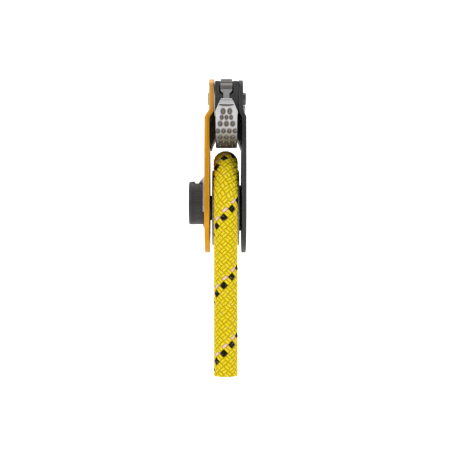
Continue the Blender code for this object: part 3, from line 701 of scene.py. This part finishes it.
def make_plates():
    holes = [(circle(AXLE, AXLE_R + FIT), 0.2), (circle(EYE, EYE_R), 0.6), (circle(PIVOT, PIN_R + FIT), 0.15)]
    holes += [(circle(centre, RIVET_R + FIT, 40), 0.12) for centre in RIVETS]
    made = sheet_metal(plate_outline(FIXED_TOP), holes, FIXED_THICK)
    bend(made, FIXED_WIDE, FIXED_NARROW, FIXED_THICK, 1)
    settle(made, "fixed_side_plate")

    eye_angle = math.degrees(math.atan2(EYE_HIGH, EYE_BACK))
    reach = math.hypot(*EYE)
    open_angle = eye_angle - 28.0
    mouth = arc(AXLE, reach + EYE_R, open_angle, eye_angle, 80)
    mouth += arc(EYE, EYE_R, eye_angle, eye_angle + 180.0, 60)[1:-1]
    mouth += arc(AXLE, reach - EYE_R, eye_angle, open_angle, 80)
    holes = [(circle(AXLE, BUSH_R + FIT, 96), 0.15), (circle(PIVOT, STUD_R + FIT), 0.15)]
    holes += [(circle(centre, RIVET_R + FIT, 40), 0.12) for centre in COVER_RIVETS]
    made = sheet_metal(bite(plate_outline(SWING_TOP), mouth), holes, SWING_THICK)
    bend(made, SWING_WIDE, SWING_NARROW, SWING_THICK, -1)
    settle(made, "swinging_side_plate")


# ---------------- turned parts

def lathe(node, corners, steps=96, centre=AXLE, aside=0.0):
    """A turned piece from (radius, x, fillet) corners."""
    made = turned(rounded(corners, 15.0), steps, centre)
    mark_corners(made.data)
    settle(made, node, aside=aside)


def make_pins():
    seat = FIXED_NARROW + TOUCH / 2
    tip = BLOCK_ASIDE + TOUCH - BLOCK_LEFT
    lathe("cam_pivot_pin", [(0, tip, 0), (PIN_R, tip, 0.2), (PIN_R, seat, 0), (2.9, seat, 0),
                            (2.9, 9.35, 0.55), (1.25, 9.35, 0.1), (1.0, 9.15, 0.1), (0, 9.15, 0)], 72, PIVOT)
    starts = (WEB_HALF + 0.8, -2.6)
    for number, (centre, start) in enumerate(zip(RIVETS, starts), 1):
        lathe(f"block_rivet_{number}", [(0, start, 0), (RIVET_R, start, 0.1), (RIVET_R, seat, 0),
                                        (1.75, seat, 0), (1.75, 9.3, 0.7), (0, 9.3, 0)], 56, centre)
    lathe("block_rivet_3", [(0, -2.6, 0), (RIVET_R, -2.6, 0.1), (RIVET_R, FIXED_NARROW, 0.12),
                            (0, FIXED_NARROW, 0)], 40, RIVETS[2])
    inner = SWING_THICK - SWING_NARROW
    seat = -SWING_NARROW - TOUCH / 2
    lathe("plate_stud", [(0, inner, 0), (STUD_R, inner, 0.15), (STUD_R, seat, 0), (2.9, seat, 0),
                         (2.9, -8.2, 0.25), (0, -8.2, 0)], 72, PIVOT)
    for number, centre in enumerate(COVER_RIVETS, 1):
        low = SWING_THICK - SWING_WIDE
        lathe(f"cover_rivet_{number}", [
            (0, -10.5, 0), (RIVET_R, -10.5, 0.25), (RIVET_R, low, 0.1), (0, low, 0)], 40, centre)


def make_hub():
    lathe("axle", [(0, -8.9, 0), (5.3, -8.9, 0.1), (5.5, -8.7, 0.1), (5.5, -8.1, 0.1), (AXLE_R, -8.1, 0),
                   (AXLE_R, FIXED_WIDE - 0.25, 0.1), (AXLE_R - 0.25, FIXED_WIDE, 0.1), (1.3, FIXED_WIDE, 0.1),
                   (0.9, FIXED_WIDE - 0.5, 0.1), (0, FIXED_WIDE - 0.5, 0)])
    bore, near = AXLE_R + FIT, BEARING_HALF + FIT
    left = SWING_WIDE - SWING_THICK - TOUCH
    right = FIXED_WIDE - FIXED_THICK - TOUCH
    lathe("left_hub_spacer", [(bore, -near, 0.1), (5.8, -near, 0.1), (5.8, -left, 0.25), (bore, -left, 0.1)])
    lathe("right_hub_spacer", [(bore, near, 0.1), (5.8, near, 0.1), (5.8, 6.35, 0.2), (10.3, 6.35, 0.1),
                               (10.7, 6.6, 0.1), (10.7, right, 0.1), (bore, right, 0.1)])
    out, back = SWING_WIDE, SWING_WIDE - SWING_THICK
    lathe("pivot_bush", [(BUSH_R, -back, 0.1), (bore, -back, 0.1), (bore, -7.85, 0.1), (5.75, -7.85, 0.1),
                         (5.75, -out, 0.15), (BUSH_R, -out, 0.15)])


def make_bearing():
    width = BEARING_HALF
    groove_r = 1.85
    for node, wall, back, pitch, into in (("bearing_inner_ring", 6.9, AXLE_R + FIT, 8.15, -1),
                                          ("bearing_outer_ring", 9.4, BORE_R - FIT, 8.15, 1)):
        deep = abs(pitch + into * groove_r - wall)
        half = math.sqrt(groove_r ** 2 - (groove_r - deep) ** 2)
        xs = [half * (1 - step / 8) for step in range(17)]
        groove = [(pitch + into * math.sqrt(groove_r ** 2 - x * x), x, 0) for x in xs]
        lathe(node, [(back, width, 0.2), (wall, width, 0.12)] + groove
              + [(wall, -width, 0.12), (back, -width, 0.2)])
    for node, near, far in (("bearing_seal_left", -2.55, -2.85), ("bearing_seal_right", 2.55, 2.85)):
        middle = (near + far) / 2
        lathe(node, [(7.2, near, 0.05), (9.1, near, 0.05), (9.1, far, 0.12), (8.4, far, 0.1),
                     (8.25, middle, 0), (8.05, middle, 0), (7.9, far, 0.1), (7.2, far, 0.12)])
    for name, thing in NODES.items():
        if name.startswith(("ball_0", "ball_1")):
            thing.modifiers.new("round", "SUBSURF").render_levels = 3
        if name.endswith("_spring"):
            thing.modifiers.new("round", "SUBSURF").render_levels = 1


def make_sheave():
    lip = math.sqrt(GROOVE_R ** 2 - (TREAD_R + GROOVE_R - FLANGE_R) ** 2)
    start = math.atan2(TREAD_R + GROOVE_R - FLANGE_R, lip)
    groove = []
    for step in range(41):
        angle = start + (math.pi - 2 * start) * step / 40
        groove.append((TREAD_R + GROOVE_R - GROOVE_R * math.sin(angle), GROOVE_R * math.cos(angle), 0))
    half = SHEAVE_HALF
    ring_low, ring_high = BEARING_HALF + 0.35, BEARING_HALF + 1.05
    lip_r, step_r, ring_r = FLANGE_R - 0.3, BORE_R - 1.0, BORE_R + 0.8
    stop = -BEARING_HALF - 0.25
    face = [
        (lip_r, -half, 0.1), (12.6, -half, 0.2), (12.2, 0.5 - half, 0.2), (step_r, 0.5 - half, 0.1),
        (step_r, stop, 0), (BORE_R, stop, 0), (BORE_R, ring_low, 0), (ring_r, ring_low, 0),
        (ring_r, ring_high, 0), (BORE_R, ring_high, 0), (BORE_R, half - 0.5, 0.1),
        (12.2, half - 0.5, 0.2), (12.6, half, 0.2), (lip_r, half, 0.1)]
    lathe("sheave", [(FLANGE_R, half - 0.2, 0.08)] + groove + [(FLANGE_R, 0.2 - half, 0.08)] + face, 144)


# ---------------- housing block

def polar(radius, degrees):
    """A (y, z) place about the cam's pivot; 0 is straight down and 90 points to the front."""
    angle = math.radians(degrees)
    return (PIVOT[0] - radius * math.sin(angle), PIVOT[1] - radius * math.cos(angle))


def ring_part(centre, radius_in, radius_out, start, end, steps):
    """A ring sector; degrees from straight down, towards the front. With radius_in 0 it ends in
    the centre."""
    points = []
    for radius, first, last in ((radius_out, start, end), (radius_in, end, start)):
        if radius == 0:
            return points + [centre]
        for step in range(steps + 1):
            angle = math.radians(first + (last - first) * step / steps)
            points.append((centre[0] - radius * math.sin(angle), centre[1] - radius * math.cos(angle)))
    return points


def make_block():
    outline = rounded([
        (0.0, HEEL_LOW, 0), (15.0, HEEL_LOW, 2.5), (BLOCK_BACK, 44.0, 0), (BLOCK_BACK - 0.3, BLOCK_TOP, 6.5),
        (-7.0, BLOCK_TOP, 0), (BLOCK_FRONT, 57.6, 1.5), (BLOCK_FRONT, 34.0, 0),
    ])
    body = prism_x(outline, -7.0, 7.0)
    left, right = -BLOCK_LEFT, BLOCK_RIGHT
    nose = prism_y(rounded([(left, 20.0, 0), (right, 20.0, 0), (right, 58.2, 0.9), (left, 58.2, 1.5)]),
                   -18.0, -6.0)
    join(nose, prism_y([(left, 20.0), (right, 20.0), (right, 64.0), (left, 64.0)], -6.5, 18.0))
    boolean(body, nose, "INTERSECT")
    back_angle = math.degrees(math.acos(CHEEK_BACK / CHEEK_R))
    front_angle = math.degrees(math.acos(CHEEK_FRONT / CHEEK_R))
    side = [(y, z, 0) for y, z in arc(AXLE, CHEEK_R, back_angle, front_angle, 24)]
    cheeks = prism_x(rounded([(CHEEK_FRONT, CHEEK_LOW, 2.0), (CHEEK_BACK, CHEEK_LOW, 4.0)] + side),
                     -CHEEK_LEFT, CHEEK_RIGHT)
    collar = turned([
        (36.0, -CHEEK_LEFT), (40.0, -CHEEK_LEFT), (43.4, 0.1 - BLOCK_LEFT), (43.4, BLOCK_RIGHT - 0.1),
        (40.1, CHEEK_RIGHT), (36.0, CHEEK_RIGHT)], 360)
    near, far = CHEEK_FRONT + 0.1, CHEEK_BACK - 0.1
    boolean(collar, prism_x([(near, 30.0), (far, 30.0), (far, 50.0), (near, 50.0)], -12.0, 12.0),
            "INTERSECT")
    join(cheeks, collar)
    slope = [(5.2, 32.6), (5.4, 31.8), (5.8, 30.9), (6.3, 29.6), (6.7, 28.2), (7.0, 27.0), (5.0, 27.0)]
    cut_both(cheeks, slope, -18.0, 18.0)
    join(body, cheeks)
    cut(body, prism_x(ring_part(PIVOT, ARM_R, 27.6, -58.0, 102.0, 70), -CHANNEL_HALF, CHANNEL_HALF))
    cut(body, prism_x([(-18, 20), (18, 20), (18, HEEL_LOW), (-18, HEEL_LOW)],
                      -CHANNEL_HALF, CHANNEL_HALF))
    slot = WEB_HALF + 0.3
    cut(body, prism_x(ring_part(PIVOT, 0, ARM_R + 0.2, -75.0, 64.0, 44), -slot, slot))
    cut(body, rod(HUB_R + 0.5, -slot, slot, PIVOT, 72))
    wide, neck = CATCH_HALF + 0.6, 1.8
    funnel = mirrored([(neck, 44.0, 0), (neck, 50.8, 0.7), (wide, 52.3, 0.7), (wide, 64.0, 0)])
    cut(body, prism_y(rounded(funnel, 10.0), -18.0, -9.6))
    cut(body, rod(EYE_R + 0.15, -8.0, 8.0, EYE, 96))
    cut(body, rod(PIN_R + FIT, -8.0, 8.0, PIVOT))
    cut(body, rod(CATCH_PIN_R + FIT, -8.0, 8.0, CATCH, 32))
    for centre in RIVETS:
        cut(body, rod(RIVET_R + FIT, -3.2, 8.0, centre, 32))
    settle_cast(body, "housing_block", 0.17, 3, 1.0)


# ---------------- cam

TOOTH_ROWS = (70.5, 64.0, 56.8, 47.5, 37.5, 27.0, 16.5)
TOOTH_R, SMALL_TOOTH_R, TOOTH_HIGH, TOOTH_SIDES = 1.05, 0.85, 0.85, 14


def front(u, v):
    """A (y, z) place u mm in front of the cam's pivot and v mm above it."""
    return (PIVOT[0] - u, PIVOT[1] + v)


def cam_face(degrees):
    return np.maximum(22.75, 22.0 + 0.05 * degrees)


def tooth_spots():
    """Every tooth as (degrees round the face, x, radius)."""
    spots = []
    for row, degrees in enumerate(TOOTH_ROWS):
        across = (-3.85, -1.3, 1.3, 3.85) if row % 2 else (-2.75, 0.0, 2.75)
        size = TOOTH_R
        if row == 0:
            across = (-1.45, 1.45)
        if row == 1:
            across, size = (-2.05, 0.0, 2.05), SMALL_TOOTH_R
        spots += [(degrees, x, size) for x in across]
    return spots


def all_teeth():
    """Hooked spikes: an oval foot, and a tip that leans up the face, against the rope's pull."""
    edit = bmesh.new()
    for degrees, x, size in tooth_spots():
        angle = math.radians(degrees)
        out = Vector((0.0, -math.sin(angle), -math.cos(angle)))
        up = Vector((0.0, -math.cos(angle), math.sin(angle)))
        foot = Vector((x, *PIVOT)) + out * (cam_face(degrees) - 0.6)
        rings = []
        for share, radius in ((0.0, 1.30), (0.45, 0.95), (0.75, 0.55), (1.0, 0.20)):
            middle = foot + out * (0.6 + TOOTH_HIGH) * share + up * (0.35 * share)
            ring = []
            for step in range(TOOTH_SIDES):
                turn = 2 * math.pi * step / TOOTH_SIDES
                offset = up * (1.12 * math.cos(turn)) + Vector((0.86 * math.sin(turn), 0, 0))
                ring.append(edit.verts.new(middle + offset * size * radius))
            rings.append(ring)
        skin(edit, rings)
    return new_object(edit)


def make_cam():
    face = [polar(cam_face(d), d) for d in np.arange(0.0, 76.1, 1.5)]
    nose = [front(25.3, -5.0), front(24.5, -3.7), front(22.6, -2.7)]
    web = [front(9.0, -2.5), front(7.7, -2.6), front(7.5, -4.6), front(6.4, -5.4), front(3.4, -2.6),
           front(-2.4, -3.4), front(-0.7, -9.6)]
    body = prism_x(face + nose + web, -WEB_HALF, WEB_HALF)
    back = [front(9.9, -2.5)] + [polar(ARM_R + 0.3, d) for d in range(81, -1, -3)]
    wide = prism_x(face + nose + back, -CAM_HALF, CAM_HALF)
    cut_both(wide, [(2.3, 47.5), (2.3, 52.0), (6.0, 52.0), (6.0, 40.6), (CAM_HALF, 41.6)], -40.0, 10.0)
    waist = [(CAM_HALF + 0.1, 42.0), (4.7, 39.5), (4.7, 31.0), (CAM_HALF + 0.1, 29.0)]
    cut_both(wide, waist, -40.0, -10.0)
    join(body, wide)
    smile = [(3.3 - 0.44 * i, 44.35 - 0.65 * (1 - ((i - 7.5) / 7.5) ** 2)) for i in range(16)]
    cut(body, prism_y([(-3.3, 44.6), (3.3, 44.6)] + smile, -36.5, -33.45))
    cut(body, prism_y([(-5.0, 46.75), (5.0, 46.75), (5.0, 46.45), (-5.0, 46.45)], -36.5, -32.6))
    join(body, rod(HUB_R, -WEB_HALF, WEB_HALF, PIVOT, 72))
    join(body, all_teeth())
    cut(body, rod(PIN_R + FIT, -6.0, 6.0, PIVOT))
    cut(body, rod(3.5, 0.4, 6.0, PIVOT))
    settle_cast(body, "cam", 0.12, 2, 0.8, shade_and_soil_cam)


def shade_and_soil_cam(mesh):
    """Paints the teeth dark with shade and rope dirt, leaving a painted highlight down each tooth's middle,
    and paints shade on the low end of the face but less on a narrow middle strip, in the nose's hollow and
    slit, and round the hub.
    """
    x, y, z = coordinates(mesh).T
    radius = np.hypot(y - PIVOT[0], z - PIVOT[1])
    degrees = np.degrees(np.arctan2(PIVOT[0] - y, PIVOT[1] - z))
    shade_and_dirt = np.zeros(len(x))
    for spot, across, size in tooth_spots():
        up = np.radians(degrees - spot) * radius
        far = np.hypot((x - across) / (1.08 * size), up / (1.5 * size))
        # painted highlight: a line down each tooth's middle is darkened less
        dark = 0.88 - 0.12 * np.exp(-((x - across) / 0.18) ** 2)
        shade_and_dirt = np.maximum(shade_and_dirt, dark * np.clip((1.2 - far) / 0.3, 0, 1))
    # painted shade: the low end of the face, which curves down, is darkened
    low_end = np.clip(1.0 - degrees / 62.0, 0, 1) * 0.6
    # a narrow strip down the middle of the low end is darkened less
    middle_strip = np.clip(1.3 - np.abs(x) / 0.25, 0, 1) * (degrees < 23)
    low_end = low_end * (1 - 0.8 * middle_strip)
    on_face = np.clip((radius - cam_face(degrees) + 0.8) / 0.3, 0, 1) * (degrees > 0)
    # painted shade in the crescent hollow and slit at the nose, and round the hub
    hollow = (degrees > 74) & (np.abs(x) < 3.4) & (radius < cam_face(degrees) - 0.25) & (z < 44.7) & (y < -33)
    slit = (np.abs(z - 46.6) < 0.28) & (y < -30)
    hub = 0.9 * (radius < 8.0)
    shade_and_dirt = np.maximum(np.maximum(shade_and_dirt, low_end) * on_face, np.maximum(0.75 * (hollow | slit), hub))
    store(mesh, "shade_and_dirt", shade_and_dirt, "POINT")


# ---------------- catch lever

def shade_catch_grooves(mesh):
    """Paints shade into the thumb line and dip, and onto the top edge that leans back."""
    x, y, z = coordinates(mesh).T
    shade_and_dirt = np.empty(len(mesh.vertices))
    mesh.attributes["shade_and_dirt"].data.foreach_get("value", shade_and_dirt)
    in_groove = (np.abs(x) < CATCH_HALF - 0.15) & (y < -14.5) & (z > 53.0)
    # painted shade in the recessed thumb line and dip
    shade_and_dirt = np.maximum(shade_and_dirt, np.clip((y + 15.24) / 0.3, 0, 1) * 0.75 * in_groove)
    # painted shade on the top edge, which leans back into shadow
    shade_and_dirt = np.maximum(shade_and_dirt, np.clip((z - 57.2) / 0.6, 0, 1) * 0.5)
    store(mesh, "shade_and_dirt", shade_and_dirt, "POINT")


def make_catch():
    half = CATCH_HALF
    shape = mirrored([(1.4, 47.0, 0.6), (1.4, 52.0, 0.9), (half, 52.9, 0.7), (half, 58.4, 0.4)])
    body = prism_y(rounded(shape, 8.0), -15.3, -13.6)
    lines = [(-17.0, 57.2), (-15.25, 57.2), (-14.95, 57.0), (-14.95, 56.7), (-15.25, 56.5), (-17.0, 56.5)]
    dip = [(-17.0, 55.4)] + arc((-15.9, 54.55), 1.1, 50, -50, 10) + [(-17.0, 53.7)]
    cut(body, prism_x(lines, -4.0, 4.0), prism_x(dip, -4.0, 4.0))
    knuckle = rounded([(-14.2, 54.7, 0), (CATCH[0] + 1.45, 54.55, 1.3), (CATCH[0] + 1.45, 57.45, 1.3),
                       (-14.2, 57.3, 0)])
    join(body, prism_x(knuckle, -2.5, 0.7))
    cut(body, rod(CATCH_PIN_R + FIT, -6.0, 6.0, CATCH, 40))
    settle_cast(body, "catch_lever", 0.09, 2, 0.8, shade_catch_grooves)
    lathe("catch_pin", [(0, -4.9, 0), (CATCH_PIN_R, -4.9, 0.1), (CATCH_PIN_R, 4.9, 0.1), (0, 4.9, 0)], 40,
          CATCH, aside=BLOCK_ASIDE)


# ---------------- lock knob and its cover

def make_cover():
    base = -SWING_WIDE - TOUCH
    body = turned(rounded([(0, base, 0), (COVER_R, base, 0.08), (COVER_R, base - 0.2, 0.1),
                                    (9.4, COVER_OUT, 0.1), (0, COVER_OUT, 0)], 12.0), 128, COVER)
    cut(body, rod(KNOB_R - 0.55, -14.0, -10.65, KNOB, 128))
    cut(body, prism_x(ring_part(KNOB, 8.0, 16.0, -52.0, 164.0, 72), -14.0, -10.6))
    cut(body, prism_x(ring_part(KNOB, 9.5, 16.0, 8.0, 69.0, 24), -14.0, -8.0))
    cut(body, rod(2.1, -13.0, -8.0, KNOB, 56))
    cut(body, prism_x(ring_part(KNOB, 6.6, 10.55, -52.0, 72.0, 62), -13.0, -8.0))
    for centre in COVER_RIVETS:
        cut(body, rod(RIVET_R + FIT, -13.0, -8.0, centre, 40))
    settle_cut(body, "lock_cover", 28.0)


def make_knob():
    rim, step_x, body_r, out = KNOB_R, -14.35, KNOB_R - 0.85, -KNOB_OUT
    profile = rounded([
        (2.15, out + 1.3, 0.1), (7.2, out + 1.3, 0.3), (7.7, out, 0.35), (rim - 0.3, out, 0.1),
        (rim, out + 0.9, 0.5), (rim, step_x, 0.25), (body_r, step_x + 0.05, 0.1),
        (body_r, -10.9, 0.1), (9.05, -10.9, 0),
        (8.3, -11.7, 0), (5.3, -11.7, 0.1), (5.3, -14.4, 0.2), (2.15, -14.4, 0.1)], 12.0)
    body = turned(profile, 120, KNOB)
    join(body, prism_x(ring_part(KNOB, 8.4, rim - 0.05, 0.0, 150.0, 70), -15.5, -10.95))
    join(body, prism_x(ring_part(KNOB, 7.3, rim - 0.1, 0.5, 66.0, 33), -15.3, -9.8))
    low, high = KNOB[1] - 7.6, KNOB[1] + 7.6
    grip = prism_x([(-1.3, low), (1.3, low), (1.3, high), (-1.3, high)], out + 0.1, out + 2.0)
    edges = grip.modifiers.new("edges", "BEVEL")
    edges.width = 0.35
    edges.segments = 3
    edges.limit_method = "ANGLE"
    edges.angle_limit = math.radians(32)
    join(body, grip)
    cut(body, rod(3.6, out - 1.0, out + 1.3, KNOB, 64))
    cut(body, rod(2.15, out - 1.0, -8.0, KNOB, 48))
    settle_cut(body, "lock_knob", 30.0)


def make_screw():
    top = 0.35 - KNOB_OUT
    low = 1.1 - KNOB_OUT
    body = turned(rounded([(0, top, 0), (3.3, top, 0.3), (3.3, low, 0.1), (1.8, low, 0), (1.8, -9.8, 0.2),
                                    (0, -9.8, 0)], 15.0), 72, KNOB)
    cut(body, rod(1.3, -KNOB_OUT - 1.0, 0.95 - KNOB_OUT, KNOB, 6))
    settle_cut(body, "knob_screw", 30.0)


# ---------------- rope

ROPE_ROUTE = (
    (-19.0, -75.8), (-19.0, -62.0), (-19.0, -48.0), (-19.0, -34.0), (-19.0, -20.0), (-19.0, -8.0),
    (-19.0, 0.0), (-18.4, 5.5), (-16.4, 10.7), (-13.4, 15.1), (-9.5, 18.4), (-4.9, 20.6), (0.0, 21.3),
    (4.9, 20.6), (9.5, 18.4), (13.4, 15.1), (16.4, 10.7), (18.4, 5.5), (19.0, 0.0), (19.0, -8.0),
    (19.0, -20.0), (19.0, -34.0), (19.0, -48.0), (19.0, -62.0), (19.0, -75.8),
)
YARNS = 16                   # yarns round the rope in each direction, laid in pairs
YARN_TURN = 30.3             # mm of rope for one turn of a yarn
YARN_FINE = 6                # mesh steps across one yarn
YARN_RISE = 0.62             # mm from the valley between yarns to their crown
TRACER_SPOT = (-100.4, 71.2)  # degrees round and mm along, of one black diamond's middle
TWIST = 47.0                 # degrees that the rope rolls as it comes up to the sheave's top
TWIST_FROM, TWIST_TO = 76.0, 92.0
SPREAD = 0.045               # how much wider the rope is where it is pressed into the sheave
BLACK_YARNS = (4, 5)
PALE_YARN = 3
YELLOW, BLACK, PALE = (0.80, 0.66, 0.005), (0.006, 0.005, 0.007), (0.84, 0.60, 0.50)


def route_points(steps):
    """Places on a Catmull-Rom curve through the route's own points, in mm."""
    knots = [np.array(point) for point in ROPE_ROUTE]
    knots = [2 * knots[0] - knots[1]] + knots + [2 * knots[-1] - knots[-2]]
    curve = []
    for a, b, c, d in zip(knots, knots[1:], knots[2:], knots[3:]):
        for t in np.arange(steps) / steps:
            curve.append(0.5 * (2 * b + (c - a) * t + (2 * a - 5 * b + 4 * c - d) * t ** 2
                                + (3 * b - a - 3 * c + d) * t ** 3))
    return np.array(curve + [knots[-2]])


def rope_lattice(length):
    """The braid's lattice: for each point its way along (mm), angle (degrees) and yarn numbers."""
    rise = YARN_TURN / YARNS
    levels = round(length * 2 * YARN_FINE / rise)
    step = length / levels
    width = 360.0 / YARNS
    tracer_level = 28 * YARN_FINE
    start = round(tracer_level - TRACER_SPOT[1] / step)
    turn = TRACER_SPOT[0] - 38 * width / 2
    across = 2 * np.arange(YARNS * YARN_FINE)
    level, spot = np.meshgrid(np.arange(levels + 1) + start, across, indexing="ij")
    spot = spot + (level % 2)
    return level, spot, step, (level - start) * step, turn + spot * width / (2 * YARN_FINE)


def yarn_tops(a, b):
    """For places given in yarn numbers: which family is on top, and its height from 0 to 1."""
    first_on_top = (np.floor(a / 2) + np.floor(b / 2)) % 2 == 0
    wide = np.where(first_on_top, a, b)
    along = np.where(first_on_top, b, a)
    crown = np.abs(np.sin(np.pi * wide)) ** 0.55
    dive = np.abs(np.sin(np.pi * along / 2)) ** 0.6
    pair = 0.80 + 0.20 * np.abs(np.sin(np.pi * wide / 2))
    return first_on_top, crown * dive * pair


def make_rope():
    line = route_points(16)
    gaps = np.linalg.norm(np.diff(line, axis=0), axis=1)
    run = np.concatenate([[0.0], np.cumsum(gaps)])
    length = run[-1]
    level, spot, step, along, angle = rope_lattice(length)
    a = (spot - level) / 2 / YARN_FINE
    b = (spot + level) / 2 / YARN_FINE
    _, height = yarn_tops(a, b)
    radius = ROPE_R - YARN_RISE * (1 - height)
    way = np.gradient(line, run, axis=0)
    way /= np.linalg.norm(way, axis=1, keepdims=True)
    centre_y = np.interp(along, run, line[:, 0])
    centre_z = np.interp(along, run, line[:, 1])
    way_y = np.interp(along, run, way[:, 0])
    way_z = np.interp(along, run, way[:, 1])
    rolled = np.clip((along - TWIST_FROM) / (TWIST_TO - TWIST_FROM), 0, 1)
    turn = np.radians(angle + TWIST * rolled ** 2 * (3 - 2 * rolled))
    out = radius * np.sin(turn)
    over = np.clip(1.4 - np.abs(along - length / 2) / 30.0, 0, 1)
    across = (1 + SPREAD * over) * radius * np.cos(turn)
    points = np.stack([across, centre_y + out * way_z, centre_z - out * way_y], axis=-1)
    levels, count = level.shape
    flat = points.reshape(-1, 3)

    def index(row, column):
        return row * count + column % count

    columns = np.arange(count)
    faces = []
    for row in range(1, levels - 1):
        shift = level[row, 0] % 2
        left = index(row, columns)
        right = index(row, columns + 1)
        under = index(row - 1, columns + shift)
        above = index(row + 1, columns + shift)
        faces.append(np.stack([left, under, right, above], axis=1))
    quads = np.concatenate(faces)
    ends = []
    for row, near in ((0, 1), (levels - 1, levels - 2)):
        shift = level[row, 0] % 2
        corner = (index(row, columns), index(row, columns + 1), index(near, columns + shift))
        ends.append(np.stack(corner, axis=1))
    triangles = np.concatenate(ends)
    caps, cap_faces = rope_ends(flat, count, levels, line)
    vertices = np.concatenate([flat, caps])
    shapes = quads.tolist() + triangles.tolist() + cap_faces
    edit = bmesh.new()
    corners = [edit.verts.new(point) for point in vertices]
    for shape in shapes:
        edit.faces.new([corners[i] for i in shape])
    made = new_object(edit)
    paint_strands(made.data, a, b, level, spot, height, len(flat))
    return made, line, length


CAP_RINGS = 12
CORE_R = 4.1
BUNDLE_PITCH = 1.75


def rope_ends(flat, count, levels, line):
    """The clean cuts: a ring of sheath, and core bundles standing a little inside it."""
    points, faces = [], []
    base = len(flat)
    for row in (0, levels - 1):
        rim = [row * count + j for j in range(count)]
        middle_y = line[0, 0] if row == 0 else line[-1, 0]
        end_z = line[0, 1]
        rings = [rim]
        for ring in range(1, CAP_RINGS):
            share = 1 - ring / CAP_RINGS
            new = []
            for j in range(count):
                x, y = flat[rim[j], 0] * share, (flat[rim[j], 1] - middle_y) * share
                new.append(base + len(points))
                points.append((x, y + middle_y, end_z + core_depth(x, y)))
            rings.append(new)
        tip = base + len(points)
        points.append((0.0, middle_y, end_z + core_depth(0.0, 0.0)))
        for outer, inner in zip(rings, rings[1:]):
            for j in range(count):
                k = (j + 1) % count
                faces.append([outer[j], outer[k], inner[k], inner[j]])
        for j in range(count):
            faces.append([rings[-1][j], rings[-1][(j + 1) % count], tip])
    return np.array(points), faces


def core_depth(x, y):
    """How far the cut face is let in, in mm: little on the sheath, bundles in the core."""
    radius = math.hypot(x, y)
    if radius > CORE_R:
        return 0.05 + 0.05 * math.cos(x * 9.0) * math.cos(y * 9.0)
    row = round(y / (BUNDLE_PITCH * 0.866))
    column = round(x / BUNDLE_PITCH - 0.5 * (row % 2)) + 0.5 * (row % 2)
    off = math.hypot(x - column * BUNDLE_PITCH, y - row * BUNDLE_PITCH * 0.866)
    return 0.12 + 0.5 * min(1.0, off / (BUNDLE_PITCH / 2)) ** 3


def paint_strands(mesh, a, b, level, spot, height, sheath_points):
    """Stores each face's strand colour, and each point's filament line and valley depth."""
    count = len(mesh.vertices)
    valley = np.ones(count)
    valley[:sheath_points] = height.ravel()
    store(mesh, "valley", valley, "POINT")
    first_on_top, _ = yarn_tops(a + 1e-6, b + 1e-6)
    wide = np.where(first_on_top, a, b).ravel()
    line = np.full(count, 0.8)
    line[:sheath_points] = 0.5 + 0.5 * np.cos(2 * np.pi * wide * 3)
    store(mesh, "filament", line, "POINT")
    spots, levels = spot.ravel(), level.ravel()
    turn_size = 2 * YARNS * YARN_FINE
    colors = np.empty((len(mesh.polygons), 4), dtype=np.float32)
    for face in mesh.polygons:
        picked = [v for v in face.vertices if v < sheath_points]
        if len(picked) < len(face.vertices):
            colors[face.index] = (0.86, 0.82, 0.72, 1)
            continue
        here = spots[picked[0]]
        near = [here + (spots[v] - here + turn_size / 2) % turn_size - turn_size / 2 for v in picked]
        middle_spot = sum(near) / len(near)
        middle_level = sum(levels[v] for v in picked) / len(picked)
        one = (middle_spot - middle_level) / 2 / YARN_FINE
        two = (middle_spot + middle_level) / 2 / YARN_FINE
        on_top = (math.floor(one / 2) + math.floor(two / 2)) % 2 == 0
        yarn_number = math.floor(one) % YARNS
        color = YELLOW
        if on_top and yarn_number in BLACK_YARNS:
            color = BLACK
        elif on_top and yarn_number == PALE_YARN:
            color = PALE
        colors[face.index] = (*color, 1)
    corner_colors = np.repeat(colors, [len(face.vertices) for face in mesh.polygons], axis=0)
    layer = mesh.color_attributes.new("strand", "FLOAT_COLOR", "CORNER")
    layer.data.foreach_set("color", corner_colors.ravel())


# ---------------- the making

place_camera()
PAINTS = make_paints()

rope, rope_line, rope_length = make_rope()
settle(rope, "rope", smooth=60.0)

make_plates()
make_pins()
make_hub()
make_bearing()
make_sheave()
make_block()
make_cam()
make_catch()
make_cover()
make_knob()
make_screw()
set_stage()

for node, thing in NODES.items():
    if not thing.hide_render:
        thing.data.materials.clear()
        thing.data.materials.append(PAINTS[SLOT_OF[node]])
        thing.data.shade_smooth()
        thing.data.set_sharp_from_angle(angle=math.radians(32))
